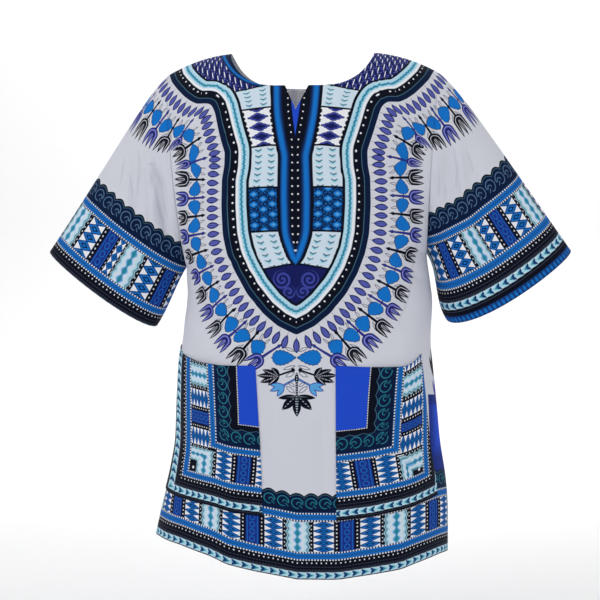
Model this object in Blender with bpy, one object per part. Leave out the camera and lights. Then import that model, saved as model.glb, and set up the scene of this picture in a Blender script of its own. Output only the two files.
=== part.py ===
"""A dashiki print t-shirt, filled out as when worn: front, back, two sleeves and two patch pockets.

Metres, +Z up. The front faces -Y and the picture's left is -X. The origin is midway between the two
points where the shoulder seams meet the neckline. Each panel is a sheet of points, worked out from
section and edge tables, with the cloth's thickness added on its inside.
"""

import math
from typing import NamedTuple

import bmesh
import bpy
import numpy as np

CLOTH_WALL = 0.0016
POCKET_WALL = 0.0014
SEAM_GAP = 0.0003

# Shoulders and armholes.
NECK_HALF_WIDTH = 0.1035
SHOULDER_TIP_X = 0.1945
SHOULDER_TIP_Z = -0.0300
SHOULDER_BEND = 0.0210
ARMHOLE_MID_X = 0.1830
ARMHOLE_HALF_DEPTH = 0.056
UNDERARM_Z = {"left": -0.304, "right": -0.288}
CHEST_Z = -0.300
NECK_BASE_Z = 0.012
SHOULDER_FALL = 0.165
ARMHOLE_FALL = 0.1315

# Rows from the top edge to the underarm, to the pockets' mouths, to their bottoms, to the hem.
ROWS_YOKE = 14
ROWS_CHEST = 8
ROWS_POCKET = 10
ROWS_HEM = 4
# Columns on each side of the centre: to the pocket's inner edge, the pressed crease, the pocket's
# outer edge and the side seam.
COLUMNS = {"left": (3, 4, 6, 1), "right": (3, 4, 3, 4)}
HALF_COLUMNS = 14
NECK_COLUMN = 7

SLEEVE_ROWS = 11
SLEEVE_HEAD_LIFT = math.radians(15.0)


class Section(NamedTuple):
    """One level of the body: half-widths to each side, depths to front and back, squareness."""

    z: float
    left: float
    right: float
    front: float
    back: float
    squareness: float


BODY = (
    Section(-0.060, 0.1920, 0.1920, 0.112, 0.108, 2.2),
    Section(-0.172, 0.1830, 0.1840, 0.124, 0.118, 2.2),
    Section(-0.288, 0.1680, 0.1755, 0.124, 0.115, 2.3),
    Section(-0.304, 0.1674, 0.1780, 0.124, 0.114, 2.3),
    Section(-0.354, 0.1660, 0.1850, 0.120, 0.107, 2.4),
    Section(-0.412, 0.1725, 0.1815, 0.116, 0.103, 2.5),
    Section(-0.440, 0.1775, 0.1845, 0.115, 0.104, 2.5),
    Section(-0.498, 0.1803, 0.1905, 0.117, 0.111, 2.5),
    Section(-0.556, 0.1820, 0.1955, 0.120, 0.118, 2.5),
    Section(-0.600, 0.1905, 0.2030, 0.122, 0.121, 2.5),
    Section(-0.642, 0.2015, 0.2070, 0.124, 0.123, 2.5),
    Section(-0.710, 0.2160, 0.2065, 0.128, 0.126, 2.5),
)


class Station(NamedTuple):
    """A line down the panel: its share of the way round from centre to side seam, and the levels
    that the pocket's mouth, the pocket's bottom and the hem have there."""

    share: float
    mouth: float
    bottom: float
    hem: float


FRONT_LEFT = (
    Station(0.00, -0.4435, -0.6540, -0.7343),
    Station(0.20, -0.4435, -0.6485, -0.7240),
    Station(0.33, -0.4443, -0.6444, -0.7150),
    Station(0.43, -0.4443, -0.6377, -0.7050),
    Station(0.62, -0.4385, -0.6308, -0.6930),
    Station(0.80, -0.4292, -0.6245, -0.6870),
    Station(0.95, -0.4180, -0.6190, -0.6870),
    Station(1.00, -0.4160, -0.6170, -0.6875),
)
FRONT_RIGHT = (
    Station(0.00, -0.4435, -0.6540, -0.7343),
    Station(0.20, -0.4435, -0.6549, -0.7345),
    Station(0.36, -0.4458, -0.6496, -0.7280),
    Station(0.50, -0.4462, -0.6414, -0.7215),
    Station(0.58, -0.4460, -0.6370, -0.7155),
    Station(0.65, -0.4400, -0.6320, -0.7120),
    Station(0.73, -0.4285, -0.6270, -0.7090),
    Station(0.79, -0.4265, -0.6240, -0.7072),
    Station(0.90, -0.4235, -0.6190, -0.7080),
    Station(1.00, -0.4200, -0.6150, -0.7110),
)
BACK_LEFT = (
    Station(0.00, -0.4430, -0.6500, -0.7320),
    Station(0.50, -0.4430, -0.6430, -0.7190),
    Station(1.00, -0.4160, -0.6170, -0.6875),
)
BACK_RIGHT = (
    Station(0.00, -0.4430, -0.6500, -0.7320),
    Station(0.50, -0.4430, -0.6450, -0.7240),
    Station(1.00, -0.4200, -0.6150, -0.7110),
)


class Breaks(NamedTuple):
    """Shares of the half section at the pocket's inner edge, the crease and its outer edge."""

    inner: float
    crease: float
    outer: float


BREAKS = {
    "left": {"mouth": Breaks(0.240, 0.415, 0.950), "bottom": Breaks(0.176, 0.330, 0.890)},
    "right": {"mouth": Breaks(0.209, 0.580, 0.725), "bottom": Breaks(0.192, 0.510, 0.765)},
}


class EdgePoint(NamedTuple):
    """A point of the neckline, seen from the front."""

    x: float
    z: float


FRONT_NECK = (
    EdgePoint(0.0000, -0.0925),
    EdgePoint(0.0165, -0.0570),
    EdgePoint(0.0380, -0.0565),
    EdgePoint(0.0600, -0.0530),
    EdgePoint(0.0785, -0.0425),
    EdgePoint(0.0910, -0.0285),
    EdgePoint(0.0993, -0.0135),
    EdgePoint(0.1035, 0.0000),
)
BACK_NECK = (
    EdgePoint(0.0000, -0.0415),
    EdgePoint(0.0165, -0.0412),
    EdgePoint(0.0380, -0.0402),
    EdgePoint(0.0600, -0.0375),
    EdgePoint(0.0780, -0.0310),
    EdgePoint(0.0905, -0.0215),
    EdgePoint(0.0985, -0.0105),
    EdgePoint(0.1035, 0.0000),
)


class Sleeve(NamedTuple):
    """A cuff: its outer and inner corners seen from the front, its depth front to back, how far
    its front edge bows out, and the sleeve's slope below level."""

    outer_x: float
    outer_z: float
    inner_x: float
    inner_z: float
    half_depth: float
    bow: float
    slope: float


CUFFS = {
    "left": Sleeve(0.3670, -0.2830, 0.2125, -0.3915, 0.052, 0.008, math.radians(56.0)),
    "right": Sleeve(0.3800, -0.2825, 0.2050, -0.3825, 0.054, 0.020, math.radians(55.0)),
}


class Fold(NamedTuple):
    """A soft trough, or a ridge where its height is positive, along a line seen from the front."""

    x0: float
    z0: float
    x1: float
    z1: float
    width: float
    height: float


BODY_FOLDS = (
    Fold(-0.150, -0.330, -0.105, -0.415, 0.016, -0.0055),
    Fold(-0.158, -0.372, -0.125, -0.436, 0.014, 0.0040),
    Fold(0.166, -0.325, 0.118, -0.405, 0.017, -0.0060),
    Fold(0.170, -0.385, 0.132, -0.432, 0.014, 0.0040),
    Fold(-0.168, -0.118, -0.140, -0.275, 0.018, -0.0060),
    Fold(0.170, -0.110, 0.146, -0.268, 0.018, -0.0055),
)
SLEEVE_FOLDS = {
    "left": (
        Fold(-0.228, -0.135, -0.232, -0.262, 0.0120, -0.0085),
        Fold(-0.208, -0.150, -0.184, -0.275, 0.0110, -0.0070),
        Fold(-0.250, -0.140, -0.262, -0.215, 0.0120, -0.0050),
        Fold(-0.216, -0.130, -0.211, -0.255, 0.0090, 0.0035),
    ),
    "right": (
        Fold(0.206, -0.130, 0.209, -0.250, 0.0120, -0.0080),
        Fold(0.190, -0.160, 0.182, -0.235, 0.0100, -0.0060),
        Fold(0.232, -0.130, 0.243, -0.205, 0.0120, -0.0050),
        Fold(0.221, -0.140, 0.226, -0.262, 0.0090, 0.0035),
    ),
}

CREASE_HEIGHT = 0.0085
CREASE_REACH = 0.060
CREASE_START_Z = -0.330
CREASE_FULL_Z = -0.440


def smooth(value, low, high):
    """Rises from 0 at low to 1 at high, with level ends."""
    t = np.clip((value - low) / (high - low), 0.0, 1.0)
    return t * t * (3.0 - 2.0 * t)


def section_value(z, column):
    """Reads one column of the body table at a level."""
    levels = np.array([row.z for row in BODY])[::-1]
    values = np.array([getattr(row, column) for row in BODY])[::-1]
    return np.interp(z, levels, values)


def shoulder_height(x):
    """The shoulder line's level over a distance from the centre, carried on across the neck."""
    x = np.abs(x)
    t = (x - NECK_HALF_WIDTH) / (SHOULDER_TIP_X - NECK_HALF_WIDTH)
    outer = (SHOULDER_TIP_Z + SHOULDER_BEND) * t - SHOULDER_BEND * t * t
    inner = NECK_BASE_Z * (1.0 - (x / NECK_HALF_WIDTH) ** 2)
    return np.where(x < NECK_HALF_WIDTH, inner, outer)


def edge_width(z, side):
    """Half-width to the armhole seam, or below it to the side seam."""
    under_z = UNDERARM_Z[side]
    low = section_value(z, side)
    t = np.clip((SHOULDER_TIP_Z - z) / (SHOULDER_TIP_Z - under_z), 0.0, 1.0)
    under = section_value(under_z, side)
    pull = 2 * ARMHOLE_MID_X - 0.5 * (SHOULDER_TIP_X + under)
    curve = SHOULDER_TIP_X * (1 - t) ** 2 + 2 * pull * t * (1 - t) + under * t**2
    return np.where(z > under_z, curve, low)


def edge_depth(z, side):
    """Half the armhole's depth from front to back at a level."""
    middle = 0.5 * (SHOULDER_TIP_Z + UNDERARM_Z[side])
    t = np.clip((z - middle) / (SHOULDER_TIP_Z - middle), -1.0, 1.0)
    return ARMHOLE_HALF_DEPTH * np.sqrt(1.0 - t * t)


def body_depth(x, z, side, face):
    """Distance of the cloth in front of, or behind, the shoulder line at a front-view place."""
    width = edge_width(z, side)
    u = np.clip(np.abs(x) / width, 0.0, 1.0)
    square = section_value(z, "squareness")
    fullness = smooth(-z, 0.17, -UNDERARM_Z[side])
    root = 1.12 + (square - 1.12) * fullness
    bulge = np.power(np.clip(1.0 - np.power(u, square), 0.0, 1.0), 1.0 / root)
    middle = 0.5 * (SHOULDER_TIP_Z + UNDERARM_Z[side])
    side_depth = np.where(z > middle, ARMHOLE_HALF_DEPTH, edge_depth(z, side))
    depth = side_depth + (section_value(z, face) - side_depth) * bulge
    fall = ARMHOLE_FALL + (SHOULDER_FALL - ARMHOLE_FALL) * (1.0 - u**2)
    t = np.clip((shoulder_height(x) - z) / fall, 0.0, 1.0)
    return depth * np.sqrt(np.clip(1.0 - (1.0 - t) ** 2, 0.0, 1.0))


def fold_height(x, z, folds):
    """Sum of the folds' heights at a front-view place."""
    total = np.zeros(np.broadcast(x, z).shape)
    for fold in folds:
        dx = fold.x1 - fold.x0
        dz = fold.z1 - fold.z0
        length = math.hypot(dx, dz)
        along = ((x - fold.x0) * dx + (z - fold.z0) * dz) / length
        across = ((x - fold.x0) * dz - (z - fold.z0) * dx) / length
        end = 0.45 * length
        taper = smooth(along, -0.4 * end, end) * smooth(length - along, -0.4 * end, end)
        total = total + fold.height * taper * np.exp(-((across / fold.width) ** 2))
    return total


def arc_points(z, side, face, shares):
    """Points of the level section at given shares of its length from the centre to the side."""
    angles = np.linspace(0.0, 0.5 * math.pi, 241)
    width = edge_width(z, side)
    x = width * np.sin(angles)
    y = body_depth(x, np.full_like(x, z), side, face)
    steps = np.hypot(np.diff(x), np.diff(y))
    length = np.concatenate(([0.0], np.cumsum(steps)))
    wanted = np.asarray(shares) * length[-1]
    return np.interp(wanted, length, x), np.interp(wanted, length, y), length[-1]


def column_shares(side, level):
    """The shares of a side's columns, at the pocket's mouth (level 0) to its bottom (level 1)."""
    ends = [
        a + (b - a) * level for a, b in zip(BREAKS[side]["mouth"], BREAKS[side]["bottom"])
    ] + [1.0]
    shares = [0.0]
    for count, end in zip(COLUMNS[side], ends):
        start = shares[-1]
        shares += [start + (end - start) * (k + 1) / count for k in range(count)]
    return np.array(shares)


def top_edge(neck):
    """Front-view places of the top row: neckline, then shoulder seam."""
    outer = HALF_COLUMNS - NECK_COLUMN
    places = [(p.x, p.z) for p in neck]
    for k in range(1, outer + 1):
        x = NECK_HALF_WIDTH + (SHOULDER_TIP_X - NECK_HALF_WIDTH) * k / outer
        places.append((x, float(shoulder_height(x))))
    return np.array(places)


def half_panel(side, face, neck, stations):
    """Points of half a panel, as rows by columns, from the centre to the side."""
    shares = column_shares(side, 0.0)
    top = top_edge(neck)
    u2 = np.linspace(0.0, 1.0, len(shares)) ** 2
    chest_z = CHEST_Z + (UNDERARM_Z[side] - CHEST_Z) * u2
    chest_share = [
        arc_points(float(level), side, face, [share])[0][0] / edge_width(float(level), side)
        for share, level in zip(shares, chest_z)
    ]
    top_share = top[:, 0] / SHOULDER_TIP_X
    rows = []
    for i in range(ROWS_YOKE + 1):
        even = i / ROWS_YOKE
        round_off = 0.5 * (1.0 - math.cos(math.pi * even))
        g = (1.0 - u2) * even + u2 * round_off
        z = top[:, 1] + (chest_z - top[:, 1]) * g
        x = (top_share + (np.array(chest_share) - top_share) * g) * edge_width(z, side)
        rows.append(np.stack([x, body_depth(x, z, side, face), z], axis=1))
    keys = [s.share for s in stations]
    for name, count in (("mouth", ROWS_CHEST), ("bottom", ROWS_POCKET), ("hem", ROWS_HEM)):
        upper = rows[-1][:, 2]
        for k in range(1, count + 1):
            level = {"mouth": 0.0, "bottom": k / count, "hem": 1.0}[name]
            shares = column_shares(side, level)
            lower = np.interp(shares, keys, [getattr(s, name) for s in stations])
            row = []
            for share, z in zip(shares, upper + (lower - upper) * k / count):
                x, y, _ = arc_points(float(z), side, face, [share])
                row.append((x[0], y[0], z))
            rows.append(np.array(row))
    return np.array(rows)


def normals(points):
    """Unit normals of a grid of points, on the side that rows cross columns gives."""
    down = np.gradient(points, axis=0)
    across = np.gradient(points, axis=1)
    n = np.cross(down, across)
    return n / np.maximum(np.linalg.norm(n, axis=2, keepdims=True), 1e-12)


def panel(face, neck, left, right):
    """A whole front or back panel: left side seam to right side seam, pressed creases, folds."""
    sign = -1.0 if face == "front" else 1.0
    halves = []
    for side, stations in (("left", left), ("right", right)):
        half = half_panel(side, face, neck, stations)
        half[..., 1] *= sign
        if side == "left":
            half[..., 0] *= -1.0
            half = half[:, ::-1]
        halves.append(half)
    points = np.concatenate([halves[0], halves[1][:, 1:]], axis=1)
    out = normals(points) * (1.0 if face == "front" else -1.0)
    z = points[..., 2]
    crease = np.zeros(z.shape)
    at_left = HALF_COLUMNS - sum(COLUMNS["left"][:2])
    at_right = HALF_COLUMNS + sum(COLUMNS["right"][:2])
    for column in (at_left, at_right):
        line = points[:, column : column + 1]
        away = np.linalg.norm((points - line)[..., :2], axis=2)
        crease += np.clip(1.0 - away / CREASE_REACH, 0.0, 1.0) ** 1.25
    crease *= CREASE_HEIGHT * smooth(-z, -CREASE_START_Z, -CREASE_FULL_Z)
    relief = crease + fold_height(points[..., 0], z, BODY_FOLDS)
    edge = np.abs(np.linspace(-1.0, 1.0, points.shape[1]))[None, :]
    relief *= 1.0 - smooth(edge, 0.90, 1.0)
    relief *= smooth(np.arange(points.shape[0])[:, None] / ROWS_YOKE, 0.1, 0.5)
    return points + out * relief[..., None]


def sleeve(side, front, back):
    """A sleeve's rings, from the armhole's own points to the cuff, open at both ends."""
    cuff = CUFFS[side]
    sign = -1.0 if side == "left" else 1.0
    column = 0 if side == "left" else -1
    ring = np.concatenate([front[: ROWS_YOKE + 1, column], back[ROWS_YOKE - 1 : 0 : -1, column]])
    outer = np.array([sign * cuff.outer_x, 0.0, cuff.outer_z])
    inner = np.array([sign * cuff.inner_x, 0.0, cuff.inner_z])
    centre = 0.5 * (outer + inner)
    half = 0.5 * (outer - inner)
    axis = np.array([sign * math.cos(cuff.slope), 0.0, -math.sin(cuff.slope)])
    count = len(ring)
    angle = 2.0 * math.pi * np.arange(count) / count
    depth = cuff.half_depth * np.sign(np.sin(angle)) * np.abs(np.sin(angle)) ** 0.9
    end = centre + np.cos(angle)[:, None] * half
    end[:, 1] -= depth
    bow = cuff.bow * np.maximum(np.sin(angle), 0.0) * (1.0 - 0.3 * np.cos(angle))
    end += axis * bow[:, None]
    reach = np.linalg.norm(end - ring, axis=1)[:, None]
    top = (0.5 + 0.5 * np.cos(angle))[:, None]
    slope = cuff.slope - SLEEVE_HEAD_LIFT * top[:, 0] ** 2
    start_way = np.stack([sign * np.cos(slope), np.zeros(count), -np.sin(slope)], axis=1)
    start_reach = reach * (0.30 - 0.15 * top)
    end_reach = reach * (0.33 + 0.23 * top)
    rows = []
    for k in range(SLEEVE_ROWS + 1):
        t = k / SLEEVE_ROWS
        rows.append(
            (1 - t) ** 3 * ring
            + 3 * t * (1 - t) ** 2 * (ring + start_way * start_reach)
            + 3 * t * t * (1 - t) * (end - axis * end_reach)
            + t**3 * end
        )
    points = np.array(rows)
    closed = np.concatenate([points[:, -1:], points, points[:, :1]], axis=1)
    out = normals(closed)[:, 1:-1] * (-sign)
    t = np.linspace(0.0, 1.0, SLEEVE_ROWS + 1)[:, None]
    relief = fold_height(points[..., 0], points[..., 2], SLEEVE_FOLDS[side])
    relief *= smooth(t, 0.0, 0.22) * (1.0 - 0.7 * smooth(t, 0.75, 1.0))
    relief *= np.sqrt(np.abs(np.sin(angle)))[None, :]
    return points + out * relief[..., None]


def unit(vectors):
    """Scales vectors to length 1."""
    return vectors / np.linalg.norm(vectors, axis=-1, keepdims=True)


def close_sheet(name, outer, inward, ring):
    """Makes one closed wall: the sheet's points, and the same points moved inward."""
    count_rows, count_columns = outer.shape[:2]
    mesh = bmesh.new()
    sheets = []
    for grid in (outer, outer + inward):
        sheets.append([[mesh.verts.new(tuple(p)) for p in line] for line in grid])
    span = count_columns if ring else count_columns - 1
    for i in range(count_rows - 1):
        for j in range(span):
            k = (j + 1) % count_columns
            a, b = sheets
            mesh.faces.new((a[i][j], a[i + 1][j], a[i + 1][k], a[i][k]))
            mesh.faces.new((b[i][j], b[i][k], b[i + 1][k], b[i + 1][j]))
    rims = [((0, j), (0, (j + 1) % count_columns)) for j in range(span)]
    rims += [
        ((count_rows - 1, (j + 1) % count_columns), (count_rows - 1, j)) for j in range(span)
    ]
    if not ring:
        rims += [((i + 1, 0), (i, 0)) for i in range(count_rows - 1)]
        rims += [
            ((i, count_columns - 1), (i + 1, count_columns - 1)) for i in range(count_rows - 1)
        ]
    for (i, j), (m, n) in rims:
        a, b = sheets
        mesh.faces.new((a[i][j], a[m][n], b[m][n], b[i][j]))
    bmesh.ops.recalc_face_normals(mesh, faces=mesh.faces)
    data = bpy.data.meshes.new(name)
    mesh.to_mesh(data)
    mesh.free()
    data.shade_smooth()
    data.set_sharp_from_angle(angle=math.radians(50.0))
    return bpy.data.objects.new(name, data)


def cloth_material(name, colour):
    """A printed cotton: matt, in the panel's main colour."""
    material = bpy.data.materials.new(name)
    material.use_nodes = True
    shader = material.node_tree.nodes["Principled BSDF"]
    shader.inputs["Base Color"].default_value = (*colour, 1.0)
    shader.inputs["Roughness"].default_value = 0.82
    shader.inputs["Metallic"].default_value = 0.0
    return material


def seam_normals(front, back, sleeves):
    """Outward directions of all sheets, made the same on both sides of every seam."""
    n_front = normals(front)
    n_back = -normals(back)
    n_sleeves = {}
    for side, points in sleeves.items():
        closed = np.concatenate([points[:, -1:], points, points[:, :1]], axis=1)
        n_sleeves[side] = normals(closed)[:, 1:-1] * (1.0 if side == "left" else -1.0)
    centre = HALF_COLUMNS
    upright = np.array([1.0, 0.0, 1.0])
    for side, column in (("left", 0), ("right", 2 * centre)):
        middle_z = 0.5 * (SHOULDER_TIP_Z + UNDERARM_Z[side])
        half_height = SHOULDER_TIP_Z - middle_z
        shared = unit((n_front[ROWS_YOKE:, column] + n_back[ROWS_YOKE:, column]) * upright)
        n_front[ROWS_YOKE:, column] = shared
        n_back[ROWS_YOKE:, column] = shared
        for i in range(ROWS_YOKE + 1):
            y = 0.0 if i in (0, ROWS_YOKE) else front[i, column, 1] / ARMHOLE_HALF_DEPTH**2
            z = (front[i, column, 2] - middle_z) / half_height**2
            n_front[i, column] = n_sleeves[side][0, i] = unit(np.array([0.0, y, z]))
            n_back[i, column] = n_sleeves[side][0, -i] = unit(np.array([0.0, -y, z]))
    shoulders = [j for j in range(1, 2 * centre) if abs(j - centre) >= NECK_COLUMN]
    for j in shoulders:
        shared = unit((n_front[0, j] + n_back[0, j]) * upright)
        n_front[0, j] = shared
        n_back[0, j] = shared
    return n_front, n_back, n_sleeves


def pocket(front, n_front, side):
    """A patch pocket: the front's own points between its edges, moved out, a little open above."""
    centre = HALF_COLUMNS
    inner = COLUMNS[side][0]
    outer = sum(COLUMNS[side][:3])
    top = ROWS_YOKE + ROWS_CHEST
    bottom = top + ROWS_POCKET
    columns = (
        slice(centre - outer, centre - inner + 1)
        if side == "left"
        else slice(centre + inner, centre + outer + 1)
    )
    points = front[top : bottom + 1, columns]
    out = n_front[top : bottom + 1, columns]
    down = np.linspace(0.0, 1.0, points.shape[0])[:, None]
    across = np.linspace(0.0, 1.0, points.shape[1])[None, :]
    lift = SEAM_GAP + 0.0022 * np.sin(math.pi * across) ** 2 * (1.0 - down) ** 3
    inside = points + out * lift[..., None]
    return inside + out * POCKET_WALL, -out * POCKET_WALL


def main():
    for old in list(bpy.data.objects):
        bpy.data.objects.remove(old, do_unlink=True)
    garment = bpy.data.collections.new("dashiki_print_t_shirt")
    bpy.context.scene.collection.children.link(garment)

    front = panel("front", FRONT_NECK, FRONT_LEFT, FRONT_RIGHT)
    back = panel("back", BACK_NECK, BACK_LEFT, BACK_RIGHT)
    seam = slice(ROWS_YOKE, None)
    for column in (0, -1):
        back[seam, column] = front[seam, column]
    sleeves = {side: sleeve(side, front, back) for side in CUFFS}
    n_front, n_back, n_sleeves = seam_normals(front, back, sleeves)

    apart = np.array([0.0, 0.5 * SEAM_GAP, 0.0])
    sheets = {
        "front": (front - apart, -n_front * CLOTH_WALL, False),
        "back": (back + apart, -n_back * CLOTH_WALL, False),
    }
    for side, sign in (("left", -1.0), ("right", 1.0)):
        shift = np.array([sign * SEAM_GAP, 0.0, 0.0])
        sheets[f"sleeve_{side}"] = (sleeves[side] + shift, -n_sleeves[side] * CLOTH_WALL, True)
        outer, inward = pocket(front - apart, n_front, side)
        sheets[f"pocket_{side}"] = (outer, inward, False)

    colours = {
        "front": (0.62, 0.66, 0.78),
        "back": (0.60, 0.64, 0.76),
        "sleeve_left": (0.58, 0.63, 0.76),
        "sleeve_right": (0.58, 0.63, 0.76),
        "pocket_left": (0.03, 0.08, 0.36),
        "pocket_right": (0.03, 0.08, 0.36),
    }
    for name, (outer, inward, ring) in sheets.items():
        piece = close_sheet(name, outer, inward, ring)
        piece.data.materials.append(cloth_material(f"{name}_cotton", colours[name]))
        garment.objects.link(piece)


main()
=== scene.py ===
"""Dashiki print t-shirt: the looks of its six pieces of cloth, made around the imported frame.

Metres, +Z up. The front faces -Y and the picture's left is -X. Every piece is a fine sheet on the
form of its solid, with softer folds, a thickness, hems and sewing. The print is drawn by shader
maths on coordinates that the sheets carry: places on the flat cloth, distances from the yoke's
outline and distances from the hems.
"""

import logging
import math
from dataclasses import dataclass, field
from enum import Enum
from typing import Callable, NamedTuple, Sequence

import bmesh
import bpy
import numpy as np
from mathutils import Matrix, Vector
from mathutils.kdtree import KDTree


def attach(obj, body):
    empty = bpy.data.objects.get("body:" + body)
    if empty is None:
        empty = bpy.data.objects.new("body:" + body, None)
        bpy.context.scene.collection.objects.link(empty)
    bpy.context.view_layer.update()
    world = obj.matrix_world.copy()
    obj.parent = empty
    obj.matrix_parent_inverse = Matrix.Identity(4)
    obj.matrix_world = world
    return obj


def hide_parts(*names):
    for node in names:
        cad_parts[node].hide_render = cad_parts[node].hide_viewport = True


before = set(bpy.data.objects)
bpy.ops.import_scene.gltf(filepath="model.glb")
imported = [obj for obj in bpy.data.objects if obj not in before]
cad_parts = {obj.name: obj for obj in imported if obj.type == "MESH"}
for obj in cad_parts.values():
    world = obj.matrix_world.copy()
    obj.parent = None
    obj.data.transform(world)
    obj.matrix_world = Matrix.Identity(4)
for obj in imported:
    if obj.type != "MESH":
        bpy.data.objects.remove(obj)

MM = 0.001
TO_MM = 1000.0
BODY = "root"
Array = np.ndarray
Socket = bpy.types.NodeSocket


def make_rows(kind: type, *values: tuple) -> tuple:
    """A table's rows, each of one kind."""
    return tuple(kind(*row) for row in values)


def listed(table: tuple, name: str) -> list[float]:
    """One column of a table."""
    return [getattr(row, name) for row in table]


class Side(Enum):
    """A side of the shirt, as the picture shows it."""

    LEFT = "left"
    RIGHT = "right"

    @property
    def sign(self) -> float:
        """The sign of X on this side."""
        return -1.0 if self is Side.LEFT else 1.0


class Face(Enum):
    """A panel of the body."""

    FRONT = "front"
    BACK = "back"

    @property
    def sign(self) -> float:
        """The sign of Y on this face."""
        return -1.0 if self is Face.FRONT else 1.0


class Section(NamedTuple):
    """One level of the body: half-widths to each side, depths to front and back, squareness."""

    z: float
    left: float
    right: float
    front: float
    back: float
    squareness: float


BODY_SECTIONS = make_rows(
    Section,
    (-0.71, 0.216, 0.2065, 0.128, 0.126, 2.5), (-0.642, 0.2015, 0.207, 0.124, 0.123, 2.5),
    (-0.6, 0.1905, 0.203, 0.122, 0.121, 2.5), (-0.556, 0.182, 0.1955, 0.12, 0.118, 2.5),
    (-0.498, 0.1803, 0.1905, 0.117, 0.111, 2.5), (-0.44, 0.1775, 0.1845, 0.115, 0.104, 2.5),
    (-0.412, 0.1725, 0.1815, 0.116, 0.103, 2.5), (-0.354, 0.166, 0.185, 0.12, 0.107, 2.4),
    (-0.304, 0.1674, 0.178, 0.124, 0.114, 2.3), (-0.288, 0.168, 0.1755, 0.124, 0.115, 2.3),
    (-0.172, 0.183, 0.184, 0.124, 0.118, 2.2), (-0.06, 0.192, 0.192, 0.112, 0.108, 2.2),
)
UNDERARM_Z = {Side.LEFT: -0.304, Side.RIGHT: -0.288}


class Station(NamedTuple):
    """A line down the panel: its share of the way round from centre to side seam, and the levels
    that the pocket's mouth, the pocket's bottom and the hem have there."""

    share: float
    mouth: float
    bottom: float
    hem: float


STATIONS = {
    (Face.FRONT, Side.LEFT): make_rows(
        Station,
        (0.0, -0.4435, -0.654, -0.7343), (0.2, -0.4435, -0.6485, -0.724),
        (0.33, -0.4443, -0.6444, -0.715), (0.43, -0.4443, -0.6377, -0.705),
        (0.62, -0.4385, -0.6308, -0.693), (0.8, -0.4292, -0.6245, -0.687),
        (0.95, -0.418, -0.619, -0.687), (1.0, -0.416, -0.617, -0.6875),
    ),
    (Face.FRONT, Side.RIGHT): make_rows(
        Station,
        (0.0, -0.4435, -0.654, -0.7343), (0.2, -0.4435, -0.6549, -0.7345),
        (0.36, -0.4458, -0.6496, -0.728), (0.5, -0.4462, -0.6414, -0.7215),
        (0.58, -0.446, -0.637, -0.7155), (0.65, -0.44, -0.632, -0.712), (0.73, -0.4285, -0.627, -0.709),
        (0.79, -0.4265, -0.624, -0.7072), (0.9, -0.4235, -0.619, -0.708), (1.0, -0.42, -0.615, -0.711),
    ),
    (Face.BACK, Side.LEFT): make_rows(
        Station,
        (0.0, -0.443, -0.65, -0.732), (0.5, -0.443, -0.643, -0.719), (1.0, -0.416, -0.617, -0.6875),
    ),
    (Face.BACK, Side.RIGHT): make_rows(
        Station,
        (0.0, -0.443, -0.65, -0.732), (0.5, -0.443, -0.645, -0.724), (1.0, -0.42, -0.615, -0.711),
    ),
}
# Shares of the half section at the pocket's inner edge, the crease and the pocket's outer edge: at
# the pocket's mouth, then at its bottom.
BREAKS = {
    Side.LEFT: ((0.24, 0.415, 0.95), (0.176, 0.33, 0.89)),
    Side.RIGHT: ((0.209, 0.58, 0.725), (0.192, 0.51, 0.765)),
}
# Points of an edge, as X and Z seen from the front.
NECKS = {
    Face.FRONT: (
        (0.0, -0.0925), (0.0165, -0.057), (0.038, -0.0565), (0.06, -0.053), (0.0785, -0.0425),
        (0.091, -0.0285), (0.0993, -0.0135), (0.1035, 0.0),
    ),
    Face.BACK: (
        (0.0, -0.0415), (0.0165, -0.0412), (0.038, -0.0402), (0.06, -0.0375), (0.078, -0.031),
        (0.0905, -0.0215), (0.0985, -0.0105), (0.1035, 0.0),
    ),
}


class Cuff(NamedTuple):
    """A cuff: its outer and inner corners seen from the front, its depth front to back, how far
    its front edge bows out, and the sleeve's slope below level."""

    outer_x: float
    outer_z: float
    inner_x: float
    inner_z: float
    half_depth: float
    bow: float
    slope: float


CUFFS = {
    Side.LEFT: Cuff(0.3670, -0.2830, 0.2125, -0.3915, 0.052, 0.008, math.radians(56.0)),
    Side.RIGHT: Cuff(0.3800, -0.2825, 0.2050, -0.3825, 0.054, 0.020, math.radians(55.0)),
}


class Fold(NamedTuple):
    """A trough, a ridge where its height is positive, or a thin pressed crease without a height,
    along a line seen from the front. Millimetres."""

    x0: float
    z0: float
    x1: float
    z1: float
    width: float
    height: float = 0.0


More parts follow.
